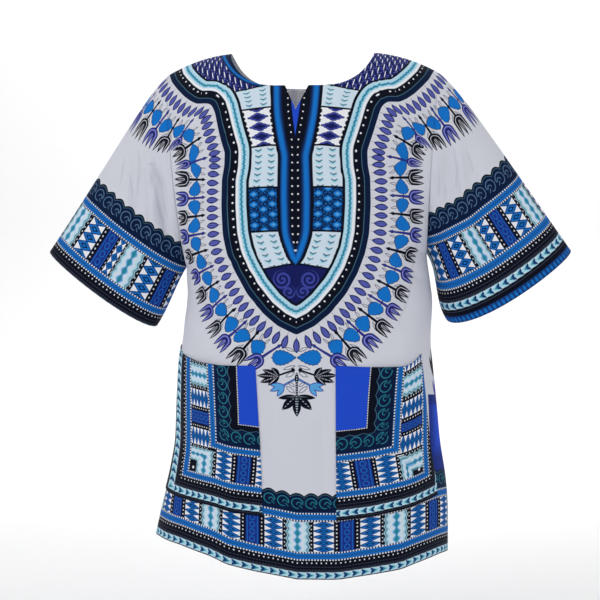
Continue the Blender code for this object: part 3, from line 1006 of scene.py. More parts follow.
@dataclass
class YokeInside:
    """Coordinates inside the yoke's bands: the placket and the columns of blocks beside it."""

    panel: PanelSheet

    def levels(self) -> list[float]:
        """The block edges' places on the flat cloth, from the lowest."""
        return [self.panel.level_at(edge.z) for edge in BLOCK_EDGES]

    def place(self, ring: Array) -> tuple:
        """Works out the placket's and the columns' coordinates for the whole panel.

        Args:
            ring: The panel's ring coordinates.

        Returns:
            A grid of (inside the placket's edge, outside its dots, outside the wedge), and one of
            (share across the column, level along the blocks, 0).
        """
        x = np.abs(self.panel.flat[..., 0])
        v = self.panel.flat[..., 1]
        if self.panel.face is Face.BACK:
            grid = (*x.shape, 3)
            top = max(self.levels()) + 60.0 * MM
            return np.full(grid, (-0.05, 0.05, 0.05)), np.full(grid, (0.5, top, 0.04))
        marks = [self.panel.level_at(row.z) for row in PLACKET]
        width, dots = (
            np.interp(v, *eased_table(marks, listed(PLACKET, name), 3.0 * MM))
            for name in ("width", "dots")
        )
        ends = [self.panel.level_at(level) for level in WEDGE_LEVELS]
        wedge = np.interp(v, ends, [0.0, WEDGE_WIDTH])
        gone = np.where(v < marks[0], 0.02 + marks[0] - v, 0.0)
        inside = width - x - gone
        outer = np.maximum(-ring[..., 1] - BANDS_WIDTH, 0.0)
        share = np.clip(-inside / np.maximum(outer - inside, 1e-4), 0.0, 1.0)
        levels = self.levels()
        slope = np.interp(v, levels, listed(BLOCK_EDGES, "slope"))
        level = v + slope * (x - COLUMN_MIDDLE)
        return (
            np.stack([inside, x - dots, x - wedge], axis=2),
            np.stack([share, level, np.maximum(outer - inside, 1e-3)], axis=2),
        )


def stretched(values: Array, real: Sequence[float], scale: Sequence[float]) -> Array:
    """Carries places to another scale through a table, going on evenly past its ends.

    Args:
        values: The places, in metres.
        real: The table's real places, in mm, rising.
        scale: Their places on the other scale, in mm.

    Returns:
        The places on the other scale, in metres.
    """
    at = values / MM
    past = np.minimum(at - real[0], 0.0) + np.maximum(at - real[-1], 0.0)
    return (np.interp(at, real, scale) + past) * MM


class BandMark(NamedTuple):
    """A line of a pocket's bands: its place on the hem's scale, and its real distances in mm."""

    hem: float
    bottom: float
    left_side: float
    right_side: float


POCKET_BANDS = make_rows(
    BandMark,
    (-6.8, 0, 0, -16.5), (1.4, 5, 20, -8.3), (9.7, 14, 42, 0), (25.5, 30, 57, 14), (37.4, 40.5, 72, 29),
    (78, 79, 108, 71), (90.5, 90, 121, 83), (113, 114, 143.5, 108), (126.5, 121, 155, 119),
)


class BlockMark(NamedTuple):
    """A line between a pocket's blocks: its place along the border, and its real places in mm.

    The real places are distances from the pocket's outer side for the strip along the bottom, and
    from its bottom for the strip up the side.
    """

    along: float
    left_bottom: float
    right_bottom: float
    left_side: float
    right_side: float


POCKET_BLOCKS = make_rows(
    BlockMark,
    (-26, 71, 29, 39, 36.5), (-15, 85, 48, 57, 48), (13.5, 112, 63.5, 73.5, 69.5),
    (21.5, 121, 71, 79, 77.5), (47.5, 145, 98.5, 102, 99.5), (55.5, 153, 105.5, 109, 105.5),
    (74.5, 172, 128, 127, 117), (82.5, 180, 135.5, 133, 124.5), (108.5, 206, 162, 156, 146),
    (116.5, 214, 170, 164.5, 157), (143.5, 241, 197, 190, 180),
)


@dataclass(frozen=True)
class CuffPrint:
    """How a cuff's border lies: its bands' real places on the hem's scale, and its blocks."""

    real: tuple
    hem: tuple
    stripes_at: float
    stretch: float
    pull: float
    pull_end: float

    def from_edge(self, distance: Array) -> Array:
        """Carries distances from the cuff's edge to the hem's scale."""
        return stretched(distance, self.real, self.hem)

    def around(self, place: Array) -> Array:
        """Carries places round the cuff to the hem's scale, from a striped block's middle."""
        pulled = self.pull * (1.0 - smooth(place, -14.0 * MM, self.pull_end))
        return (place - self.stripes_at) * self.stretch - pulled


CUFF_PRINTS = {
    Side.LEFT: CuffPrint(
        real=(0.0, 18.0, 30.0, 85.2, 98.0, 129.6),
        hem=(9.7, 25.5, 37.4, 78.0, 90.5, 117.0),
        stripes_at=20.0 * MM,
        stretch=1.0,
        pull=25.0 * MM,
        pull_end=8.0 * MM,
    ),
    Side.RIGHT: CuffPrint(
        real=(0.0, 10.3, 20.6, 31.0, 49.2, 64.5, 118.0, 132.3, 165.3),
        hem=(-15.6, -8.0, 1.4, 9.7, 25.5, 37.4, 78.0, 90.5, 117.0),
        stripes_at=10.0 * MM,
        stretch=1.15,
        pull=12.0 * MM,
        pull_end=6.0 * MM,
    ),
}
ALONG_START = 780.0 * MM
HEM_STRETCH = {Side.LEFT: 1.07, Side.RIGHT: 0.965}
BORDER_TOP = 126.0 * MM
NECK_STITCH_SHIFT = 9.0 * MM


@dataclass
class PocketSheet:
    """A patch pocket: the front's own points between its edges, moved out, a little open above."""

    side: Side
    front: PanelSheet
    lift: float = 1.5 * MM
    gape: float = 2.6 * MM
    lean: float = 34.0 * MM
    turned_in: float = 9.5 * MM
    points: Array = None
    flat: Array = None

    def make(self) -> "PocketSheet":
        """Takes the front's points under the pocket and lifts them.

        Returns:
            The sheet itself.
        """
        steps = GRID.column_steps
        columns = GRID.columns[self.side]
        inner, outer = columns[0] * steps, sum(columns[:3]) * steps
        middle = GRID.fine_half
        across = (
            slice(middle - outer, middle - inner + 1)
            if self.side is Side.LEFT
            else slice(middle + inner, middle + outer + 1)
        )
        counts = [count for _, count, _ in GRID.blocks]
        marks = GRID.coarse_rows()
        rows = slice(marks[sum(counts[:2])], marks[sum(counts[:3])] + 1)
        out = -grid_normals(self.front.points) * self.front.face.sign
        points = self.front.points[rows, across]
        down = np.linspace(0.0, 1.0, points.shape[0])[:, None]
        side = np.linspace(0.0, 1.0, points.shape[1])[None, :]
        rise = self.lift + self.gape * np.sin(math.pi * side) ** 2 * (1.0 - down) ** 3
        sag = 0.9 * MM * np.sin(5.0 * math.pi * side + 0.6) * (1.0 - down) ** 2
        rise = rise + sag * np.sin(math.pi * side)
        self.points = points + out[rows, across] * rise[..., None]
        self.flat = self.front.flat[rows, across]
        return self

    def border_places(self) -> tuple:
        """Works out the border's coordinates.

        Returns:
            A grid of (distance from the outer side, distance from the bottom, 0) and a grid of
            (place along the bottom strip, place along the side strip, 0), on the hem's scale.
        """
        run = run_along(self.points)
        from_bottom = run[-1:] - run
        run = run_along(self.points, 1)
        from_side = run if self.side is Side.LEFT else run[:, -1:] - run
        leaning = from_side
        if self.side is Side.RIGHT:
            down = np.linspace(0.0, 1.0, run.shape[0])[:, None]
            leaning = from_side + self.lean * (0.83 - down)
        side = f"{self.side.value}_side"
        zero = np.zeros_like(from_side)
        hem = listed(POCKET_BANDS, "hem")
        across = stretched(leaning, listed(POCKET_BANDS, side), hem)
        upwards = stretched(from_bottom, listed(POCKET_BANDS, "bottom"), hem)
        along = listed(POCKET_BLOCKS, "along")
        bottom = listed(POCKET_BLOCKS, f"{self.side.value}_bottom")
        along_bottom = stretched(from_side, bottom, along)
        along_side = stretched(from_bottom, listed(POCKET_BLOCKS, side), along)
        return (
            np.stack([across, upwards, zero], axis=2),
            np.stack([along_bottom, along_side, zero], axis=2),
        )

    def edges(self) -> Array:
        """Distances to the mouth's and the sides' stitching, and the length along it.

        Returns:
            A grid of (distance, length, a distance from seams that keeps clear of them).
        """
        run = run_along(self.points)
        side_run = run_along(self.points, 1)
        past = self.turned_in
        options = np.stack(
            [run, side_run + past, side_run[:, -1:] - side_run + past, run[-1:] - run + past]
        )
        along = np.stack([side_run, run, run, side_run])
        pick = np.argmin(options, axis=0)[None]
        finish = np.take_along_axis(options, pick, axis=0)[0]
        length = np.take_along_axis(along, pick, axis=0)[0]
        return np.stack([finish, length, np.full_like(finish, 0.1)], axis=2)


def panel_edges(panel: PanelSheet, from_hem: Array) -> Array:
    """Distances to a body panel's finished edges and seams.

    Args:
        panel: The front or back.
        from_hem: Each point's distance from the hem.

    Returns:
        A grid of (distance to the hem or neck edge, length along it, distance to a seam).
    """
    middle = GRID.fine_half
    neck = GRID.neck * GRID.column_steps
    edge = panel.points[0, middle - neck : middle + neck + 1]
    run = run_along(edge)
    finish = from_hem.copy()
    along = panel.flat[..., 0].copy()
    near_rows = 16
    spots = panel.points[:near_rows]
    gaps = np.linalg.norm(spots[:, :, None, :] - edge[None, None, :, :], axis=3)
    closest = np.argmin(gaps, axis=2)
    gap = np.take_along_axis(gaps, closest[..., None], axis=2)[..., 0] + NECK_STITCH_SHIFT
    closer = gap < finish[:near_rows]
    finish[:near_rows] = np.where(closer, gap, finish[:near_rows])
    along[:near_rows] = np.where(closer, run[closest], along[:near_rows])
    across = run_along(panel.points, 1)
    seam = np.minimum(across, across[:, -1:] - across)
    depth = run_along(panel.points)
    shoulder = np.abs(np.arange(panel.points.shape[1]) - middle) >= neck
    seam = np.where(shoulder[None, :], np.minimum(seam, depth), seam)
    return np.stack([finish, along, seam], axis=2)


def hem_distance(points: Array) -> Array:
    """Each point's distance up from the last row, along its column."""
    run = run_along(points)
    return run[-1:] - run


@dataclass
class Cloth:
    """A sheet ready to be made a piece: points, fields for its print, and zones of material."""

    name: str
    points: Array
    flat: Array
    fields: dict
    zone: Array
    materials: list
    face: Face = Face.FRONT
    closed: bool = False
    thickness: float = 1.6 * MM

    def build(self) -> bpy.types.Object:
        """Makes the mesh from a grid, gives it the fields, and adds the cloth's thickness.

        Returns:
            The finished object.
        """
        rows, columns = self.points.shape[:2]
        shape = bmesh.new()
        bmesh.ops.create_grid(shape, x_segments=columns - 1, y_segments=rows - 1, size=0.5)
        data = bpy.data.meshes.new(f"{self.name}_cloth")
        shape.to_mesh(data)
        shape.free()
        count = len(data.vertices)
        places = np.empty(count * 3)
        data.vertices.foreach_get("co", places)
        places = places.reshape(-1, 3)
        j = np.rint((places[:, 0] + 0.5) * (columns - 1)).astype(int)
        i = np.rint((0.5 - places[:, 1]) * (rows - 1)).astype(int)
        data.vertices.foreach_set("co", self.points[i, j].ravel())
        corners = np.empty(len(data.loops), int)
        data.loops.foreach_get("vertex_index", corners)
        uv = data.uv_layers.new(name="cloth")
        uv.data.foreach_set("uv", self.flat[i, j][corners].ravel())
        for name, values in self.fields.items():
            layer = data.attributes.new(name, "FLOAT_VECTOR", "CORNER")
            layer.data.foreach_set("vector", values[i, j][corners].astype(np.float32).ravel())
        zones = self.zone[i, j][corners].reshape(-1, 4).max(axis=1)
        data.polygons.foreach_set("material_index", zones.astype(np.int32))
        self.join_and_turn(data)
        for material in self.materials:
            data.materials.append(material)
        data.shade_smooth()
        piece = bpy.data.objects.new(f"{self.name}_cloth", data)
        bpy.context.scene.collection.objects.link(piece)
        wall = piece.modifiers.new("cloth_thickness", "SOLIDIFY")
        wall.thickness = self.thickness
        wall.offset = -1.0
        wall.use_rim = True
        wall.material_offset = len(self.materials) // 2
        wall.material_offset_rim = 0
        return piece

    def join_and_turn(self, data: bpy.types.Mesh) -> None:
        """Joins a closed sheet's seam, and turns its faces outwards.

        Args:
            data: The piece's mesh.
        """
        shape = bmesh.new()
        shape.from_mesh(data)
        if self.closed:
            bmesh.ops.remove_doubles(shape, verts=shape.verts, dist=1e-6)
        shape.normal_update()
        middle = sum(v.co.y for v in shape.verts) / len(shape.verts)
        seen = [f for f in shape.faces if not self.closed or f.calc_center_median().y < middle]
        total = sum((f.normal * f.calc_area() for f in seen), Vector())
        if total.y * self.face.sign < 0.0:
            bmesh.ops.reverse_faces(shape, faces=shape.faces)
        shape.to_mesh(data)
        shape.free()

    def area(self) -> float:
        """The sheet's area in square metres.

        Returns:
            The area.
        """
        down = np.diff(self.points, axis=0)[:, :-1]
        across = np.diff(self.points, axis=1)[:-1]
        return float(np.linalg.norm(np.cross(down, across), axis=2).sum())

    def cut(self) -> tuple:
        """The width and length of the flat cloth that the piece is cut from.

        Returns:
            The width and the length.
        """
        if self.closed:
            return float(run_along(self.points, 1).max()), float(run_along(self.points).max())
        return tuple(float(size) for size in np.ptp(self.flat, axis=(0, 1)))


def srgb(red: float, green: float, blue: float) -> tuple:
    """A linear colour from screen values of 0 to 255."""
    values = (red / 255.0, green / 255.0, blue / 255.0)
    return (*(v / 12.92 if v <= 0.04045 else ((v + 0.055) / 1.055) ** 2.4 for v in values), 1.0)


@dataclass(frozen=True)
class Inks:
    """The print's colours."""

    ground: tuple = srgb(218, 220, 230)
    pale: tuple = srgb(214, 230, 244)
    white: tuple = srgb(242, 244, 250)
    black: tuple = srgb(8, 14, 30)
    navy: tuple = srgb(8, 28, 62)
    deep: tuple = srgb(20, 56, 116)
    midnight: tuple = srgb(28, 50, 138)
    royal: tuple = srgb(34, 78, 210)
    blue: tuple = srgb(24, 115, 202)
    bright: tuple = srgb(18, 118, 208)
    sky: tuple = srgb(92, 168, 228)
    periwinkle: tuple = srgb(98, 106, 186)
    violet: tuple = srgb(64, 72, 162)
    purple: tuple = srgb(52, 58, 156)
    indigo: tuple = srgb(22, 30, 92)
    dusk: tuple = srgb(16, 20, 76)
    lilac: tuple = srgb(166, 172, 224)
    teal: tuple = srgb(44, 138, 158)
    slate: tuple = srgb(72, 116, 138)
    steel: tuple = srgb(92, 128, 166)
    cyan: tuple = srgb(168, 220, 238)
    grey: tuple = srgb(72, 78, 98)
    reverse: tuple = srgb(226, 228, 234)
    through: tuple = srgb(128, 136, 178)


INKS = Inks()


def operator(operation: str, swapped: bool = False) -> Callable:
    """Makes an operator of a Value and another number.

    Args:
        operation: Blender's name of the operation.
        swapped: Whether the other number comes first.

    Returns:
        The operator's method.
    """

    def method(value: "Value", other: object) -> "Value":
        """The operation's result."""
        pair = (other, value) if swapped else (value, other)
        return value.math(operation, *pair)

    return method


class Value:
    """A number in a material, which shader maths can be written with.

    A shape is a number that is positive inside it: & gives where both are, | where either is.
    """

    __add__ = operator("ADD")
    __radd__ = operator("ADD", swapped=True)
    __sub__ = operator("SUBTRACT")
    __rsub__ = operator("SUBTRACT", swapped=True)
    __mul__ = operator("MULTIPLY")
    __rmul__ = operator("MULTIPLY", swapped=True)
    __pow__ = operator("POWER")
    __and__ = operator("MINIMUM")
    __or__ = operator("MAXIMUM")
    above = operator("GREATER_THAN")

    def __init__(self, nodes: "Nodes", socket: Socket) -> None:
        """Wraps a node's output."""
        self.nodes = nodes
        self.socket = socket

    def math(self, operation: str, *values: object, clamp: bool = False) -> "Value":
        """Adds a Math node.

        Args:
            operation: Blender's name of the operation.
            values: Its inputs, in order.
            clamp: Whether the result is kept from 0 to 1.

        Returns:
            The result.
        """
        settings = {"operation": operation, "use_clamp": clamp}
        node = self.nodes.add("ShaderNodeMath", settings, dict(enumerate(values)))
        return Value(self.nodes, node.outputs[0])

    def __neg__(self) -> "Value":
        """Negative."""
        return self.math("MULTIPLY", self, -1.0)

    def __abs__(self) -> "Value":
        """Size without its sign."""
        return self.math("ABSOLUTE", self)

    def root(self) -> "Value":
        """Square root."""
        return self.math("SQRT", self | 0.0)

    def cosine(self) -> "Value":
        """Cosine of an angle in radians."""
        return self.math("COSINE", self)

    def wave(self, period: float) -> "Value":
        """A cosine with a period."""
        return (self * (2.0 * math.pi / period)).cosine()

    def repeat(self, period: float, start: float = 0.0) -> "Value":
        """The distance from the nearest place of a row of places, with its sign."""
        return self.math("WRAP", self - start, 0.5 * period, -0.5 * period)

    def saw(self, period: float) -> "Value":
        """The distance past the last place of a row of places."""
        return self.math("WRAP", self, period, 0.0)

    def zigzag(self, period: float) -> "Value":
        """Rises and falls between 0 and half the period."""
        return self.math("PINGPONG", self, 0.5 * period)

    def floor(self) -> "Value":
        """The whole number below."""
        return self.math("FLOOR", self)

    def between(self, low: float, high: float) -> "Value":
        """The shape between two limits."""
        return 0.5 * (high - low) - abs(self - 0.5 * (low + high))

    def line(self, at: object, width: float) -> "Value":
        """The shape of a line of a width, where the value is at a number."""
        return 0.5 * width - abs(self - at)

    def mask(self, soft: float = 0.45) -> "Value":
        """1 inside a shape, 0 outside, with a soft edge."""
        return self.math("MULTIPLY_ADD", self, 1.0 / soft, 0.5, clamp=True)


def apart(x: Value, y: Value) -> Value:
    """Distance of a place from a point."""
    return (x * x + y * y).root()


class Nodes:
    """Adds the nodes of one material."""

    def __init__(self, name: str) -> None:
        """Starts a material with an empty tree.

        Args:
            name: The material's name.
        """
        self.material = bpy.data.materials.new(name)
        self.material.use_nodes = True
        self.tree = self.material.node_tree
        self.tree.nodes.clear()

    def add(self, kind: str, settings: dict, values: dict, stops: Sequence[tuple] = ()) -> bpy.types.Node:
        """Adds a node.

        Args:
            kind: Blender's name of the node's type.
            settings: Its properties.
            values: Its inputs, by name or number: numbers, colours, sockets or Values.
            stops: A colour ramp's places and colours.

        Returns:
            The node.
        """
        node = self.tree.nodes.new(kind)
        for name, value in settings.items():
            setattr(node, name, value)
        if stops:
            elements = node.color_ramp.elements
            elements.remove(elements[-1])
            elements[0].position, elements[0].color = stops[0]
            for position, colour in stops[1:]:
                elements.new(position).color = colour
        for name, value in values.items():
            if isinstance(value, Value):
                value = value.socket
            if isinstance(value, Socket):
                self.tree.links.new(value, node.inputs[name])
            else:
                node.inputs[name].default_value = value
        return node

    def split(self, vector: Socket) -> tuple:
        """A vector's three numbers."""
        node = self.add("ShaderNodeSeparateXYZ", {}, {0: vector})
        return tuple(Value(self, output) for output in node.outputs)

    def scaled(self, vector: Socket, factor: object) -> Socket:
        """A vector or a colour times a number."""
        node = self.add("ShaderNodeVectorMath", {"operation": "SCALE"}, {0: vector, 3: factor})
        return node.outputs[0]

    def field(self, name: str) -> tuple:
        """A piece's own coordinates of a name, as three Values in millimetres."""
        source = self.add("ShaderNodeAttribute", {"attribute_name": name}, {})
        return self.split(self.scaled(source.outputs["Vector"], TO_MM))

    def vector(self, x: object, y: object) -> Socket:
        """A vector of two values."""
        return self.add("ShaderNodeCombineXYZ", {}, {0: x, 1: y}).outputs[0]

    def turned(self, x: Value, y: Value, start: Sequence[float], end: Sequence[float]) -> tuple:
        """Coordinates along and across the line between two points.

        Args:
            x: The place's first coordinate.
            y: Its second.
            start: The line's start.
            end: Its end.

        Returns:
            The distance along the line, the distance across it and the line's length.
        """
        dx, dy = end[0] - start[0], end[1] - start[1]
        inputs = {0: self.vector(x, y), 1: (*start, 0.0), 2: (0.0, 0.0, math.atan2(dy, dx))}
        mapping = self.add("ShaderNodeMapping", {"vector_type": "TEXTURE"}, inputs)
        along, across, _ = self.split(mapping.outputs[0])
        return along, across, math.hypot(dx, dy)

    def mix(self, under: object, over: object, share: object) -> Socket:
        """A colour over another, where a share is 1."""
        node = self.add("ShaderNodeMix", {"data_type": "RGBA"}, {0: share, 6: under, 7: over})
        return node.outputs[2]

    def ramp(self, value: Value, stops: Sequence[tuple], sharp: bool = True) -> Socket:
        """Colours read from a value of 0 to 1.

        Args:
            value: Where to read.
            stops: Places and colours.
            sharp: Whether each colour holds up to the next place.

        Returns:
            The colour.
        """
        node = self.add("ShaderNodeValToRGB", {}, {0: value}, stops)
        node.color_ramp.interpolation = "CONSTANT" if sharp else "LINEAR"
        return node.outputs[0]

    def noise(self, x: Value, y: Value, detail: float = 1.0) -> Value:
        """Noise from 0 to 1 at a place."""
        inputs = {"Vector": self.vector(x, y), "Scale": 1.0, "Detail": detail}
        return Value(self, self.add("ShaderNodeTexNoise", {}, inputs).outputs[0])


@dataclass(frozen=True)
class Weave:
    """The cotton's surface: roughness, sheen, thread and stitch heights, and painted shade in valleys and
    creases.
    """

    roughness: float = 0.86
    sheen: float = 0.03
    thread: float = 0.55
    bump: float = 0.00035
    stitch_at: float = 12.0
    stitch_pitch: float = 3.2
    crease_depth: float = 4.5
    # How much painted shade darkens the thin creases.
    crease_shade: float = 0.11

    def pressed(self, nodes: Nodes, creases: Sequence[Fold]) -> Value:
        """The depth of thin creases, from 0 to 1.

        Args:
            nodes: The material's nodes.
            creases: The lines they run along.

        Returns:
            The depth.
        """
        place = nodes.add("ShaderNodeTexCoord", {}, {}).outputs["Object"]
        x, _, z = nodes.split(nodes.scaled(place, TO_MM))
        depth = 0.0
        for crease in creases:
            along, across, length = nodes.turned(x, z, crease[:2], crease[2:4])
            share = along * (1.0 / length)
            middle = (share * (1.0 - share) * 4.0 | 0.0) ** 0.7
            across = across + (along * 0.09).cosine() * 1.5
            depth = depth + ((1.0 - abs(across) * (1.0 / crease.width)) | 0.0) * middle
        return depth

    def surface(
        self, nodes: Nodes, colour: Socket, stitched: bool = True, creases: Sequence[Fold] = ()
    ) -> bpy.types.Material:
        """Adds the shader that a print or a plain side shares.

        Args:
            nodes: The material's nodes.
            colour: The print's colour.
            stitched: Whether the hems' stitches and the seams' valleys show on it; the valleys get
                painted shade.
            creases: Thin creases that show on it, as bumps with painted shade.

        Returns:
            The finished material.
        """
        x, v, _ = nodes.field("cloth")
        fibre = nodes.noise(x * 0.9, v * 3.0)
        slub = nodes.noise(x * 0.05, v * 1.4)
        height = (x.wave(self.thread) + v.wave(self.thread) + fibre * 1.4 + slub * 1.2) * 0.22
        # Base colour factor: random tone of the fibres and slubs, less the painted shade taken off below.
        shade = 0.94 + fibre * 0.07 + slub * 0.05
        if stitched:
            finish, along, seam = nodes.field("edges")
            past = finish - self.stitch_at
            run = along.repeat(self.stitch_pitch)
            stitch = (0.55 - apart(past, run * 0.42)).mask(0.3)
            dent = (1.0 - abs(past) * 0.55) | 0.0
            fold = finish.line(2.0 * self.stitch_at, 1.0).mask(1.4)
            valley = (1.0 - seam * 0.7) | 0.0
            height = height + stitch * 1.3 - dent * 1.1 - valley * 1.5 + fold * 0.2
            # Painted shade darkens the seams' valleys; the stitches' thread is a little darker in tone.
            shade = shade - stitch * 0.05 - valley * 0.06
        if creases:
            depth = self.pressed(nodes, creases)
            height = height - depth * self.crease_depth
            # Painted shade along the thin creases.
            shade = shade - depth * self.crease_shade
        bump = nodes.add(
            "ShaderNodeBump", {}, {"Strength": 0.5, "Distance": self.bump, "Height": height}
        )
        inputs = {
            "Base Color": nodes.scaled(colour, shade),
            "Roughness": self.roughness,
            "Sheen Weight": self.sheen,
            "Sheen Roughness": 0.5,
            "Specular IOR Level": 0.07,
            "Normal": bump.outputs[0],
        }
        shader = nodes.add("ShaderNodeBsdfPrincipled", {}, inputs)
        nodes.add("ShaderNodeOutputMaterial", {}, {0: shader.outputs[0]})
        return nodes.material


WEAVE = Weave()


class Zone(Enum):
    """The print zones of a piece, in the order of their priority."""

    FLOWERS = 0
    YOKE = 1
    BORDER = 2


@dataclass
class Tailor:
    """Makes the shirt's sheets with the coordinates of their print."""

    front: PanelSheet = None
    back: PanelSheet = None
    rings: dict = field(default_factory=dict)

    def make_body(self) -> None:
        """Makes the two panels, joined at their side seams, and their yoke coordinates."""
        self.front = PanelSheet(Face.FRONT).make()
        self.back = PanelSheet(Face.BACK).make()
        for column in (0, -1):
            self.back.points[GRID.yoke_rows :, column] = self.front.points[GRID.yoke_rows :, column]
        self.rings = {panel.face: YokeRing(panel).make() for panel in (self.front, self.back)}

    def panel(self, panel: PanelSheet, materials: list) -> Cloth:
        """A body panel's cloth.

        Args:
            panel: The front or back.
            materials: Its print materials and reverse materials.

        Returns:
            The cloth, ready to build.
        """
        ring, flower = self.rings[panel.face].place(panel.flat)
        placket, columns = YokeInside(panel).place(ring)
        from_hem = hem_distance(panel.points)
        zero = np.zeros_like(from_hem)
        zone = np.full(from_hem.shape, Zone.FLOWERS.value)
        zone[ring[..., 1] < 0.0] = Zone.YOKE.value
        zone[from_hem < BORDER_TOP] = Zone.BORDER.value
        across = panel.flat[..., 0]
        stretch = np.where(across < 0.0, HEM_STRETCH[Side.LEFT], HEM_STRETCH[Side.RIGHT])
        fields = {
            "cloth": np.concatenate([panel.flat, zero[..., None]], axis=2),
            "ring": ring,
            "flower": flower,
            "placket": placket,
            "columns": columns,
            "border": np.stack([across * stretch + ALONG_START, from_hem, across], axis=2),
            "edges": panel_edges(panel, from_hem),
        }
        face = panel.face
        return Cloth(face.value, panel.points, panel.flat, fields, zone, materials, face)

    def sleeve(self, side: Side, materials: list) -> Cloth:
        """A sleeve's cloth, printed on from the body.

        Args:
            side: Which sleeve.
            materials: Its print materials and reverse materials.

        Returns:
            The cloth, ready to build.
        """
        sheet = SleeveSheet(side, self.front, self.back).make()
        front_flat, back_flat = sheet.print_places()
        half = GRID.yoke_rows + 1
        flat = np.concatenate([front_flat[:, :half], back_flat[:, half:]], axis=1)
        ring_front = self.rings[Face.FRONT].place(front_flat[:, :half])
        ring_back = self.rings[Face.BACK].place(back_flat[:, half:])
        ring, flower = (np.concatenate(pair, axis=1) for pair in zip(ring_front, ring_back))
        from_hem = sheet.run[-1:] - sheet.run
        zero = np.zeros_like(from_hem)
        around = np.broadcast_to(sheet.girth - 0.25 * sheet.girth[-1], from_hem.shape)
        cuff = CUFF_PRINTS[side]
        border = [cuff.around(around) + ALONG_START, cuff.from_edge(from_hem), around]
        fields = {
            "cloth": np.stack([around, from_hem, zero], axis=2),
            "ring": ring,
            "flower": flower,
            "border": np.stack(border, axis=2),
            "edges": np.stack([from_hem, around, sheet.run], axis=2),
        }
        zone = (border[1] < BORDER_TOP).astype(int)
        name = f"sleeve_{side.value}"
        return Cloth(name, sheet.points, flat, fields, zone, materials, closed=True)

    def pocket(self, side: Side, materials: list) -> Cloth:
        """A pocket's cloth.

        Args:
            side: Which pocket.
            materials: Its print material and reverse material.

        Returns:
            The cloth, ready to build.
        """
        sheet = PocketSheet(side, self.front).make()
        zone = np.zeros(sheet.points.shape[:2], int)
        border, blocks = sheet.border_places()
        fields = {
            "cloth": np.concatenate([sheet.flat, zone[..., None]], axis=2),
            "border": border,
            "blocks": blocks,
            "edges": sheet.edges(),
        }
        name = f"pocket_{side.value}"
        return Cloth(name, sheet.points, sheet.flat, fields, zone, materials, thickness=1.4 * MM)


def leaf(x: Value, v: Value, start: tuple, end: tuple, half: float) -> Value:
    """A pointed leaf's shape.

    Args:
        x: A place's distance from the centre line.
        v: Its height.
        start: The leaf's foot.
        end: Its tip.
        half: Its half-width.

    Returns:
        The shape.
    """
    along, t, length = x.nodes.turned(x, v, start, end)
    u = along * (1 / length)
    return u * (1 - u) * (4 * half) - abs(t)


def stem(x: Value, v: Value, start: tuple, end: tuple, half: float) -> Value:
    """A straight stem's shape, as for a leaf."""
    along, t, length = x.nodes.turned(x, v, start, end)
    return (half - abs(t)) & along.between(0, length)


class Print:
    """A material's print, built up from bare cloth one ink over another, in millimetres."""

    def __init__(self, name: str) -> None:
        """Starts a material, and reads its places on the flat cloth.

        Args:
            name: The material's name.
        """
        self.name = name
        self.nodes = Nodes(name)
        self.colour = INKS.ground
        self.x, self.v, _ = self.nodes.field("cloth")

    def ink(self, colour: object, shape: Value, soft: float = 0.45) -> None:
        """Prints a colour inside a shape, with a soft edge."""
        self.share(colour, shape.mask(soft))

    def share(self, colour: object, share: object) -> None:
        """Prints a colour by a share."""
        self.colour = self.nodes.mix(self.colour, colour, share)


class Reverse(Print):
    """The cloth's unprinted side, which the print shows through faintly."""

    def build(self) -> bpy.types.Material:
        """Prints the cloudy show-through.

        Returns:
            The material.
        """
        self.colour = INKS.reverse
        cloudy = self.nodes.noise(self.x * 0.06, self.v * 0.06, 3)
        self.share(INKS.through, (cloudy - 0.42) * 1.6 | 0)
        return WEAVE.surface(self.nodes, self.colour, stitched=False)


class Place(Enum):
    """Where a border runs."""

    HEM = "hem"
    FRONT_HEM = "front hem"
    CUFF = "cuff"
    POCKET = "pocket"


BORDER_BANDS = (
    (-16, INKS.deep),
    (-8, INKS.black),
    (1.4, INKS.pale),
    (9.7, INKS.black),
    (25.5, INKS.blue),
    (37.4, INKS.black),
    (78, INKS.blue),
    (90.5, INKS.navy),
)
POCKET_MIDDLE = ((113, INKS.black), (127.5, INKS.royal))
BANDS_REACH = 150
BLOCK_ROW = (37.6, 77.8)
BLOCK_PERIOD = 130
LOZENGE = 8.1
LONG_LOZENGE = 10.1
STRIP_X = 203.0


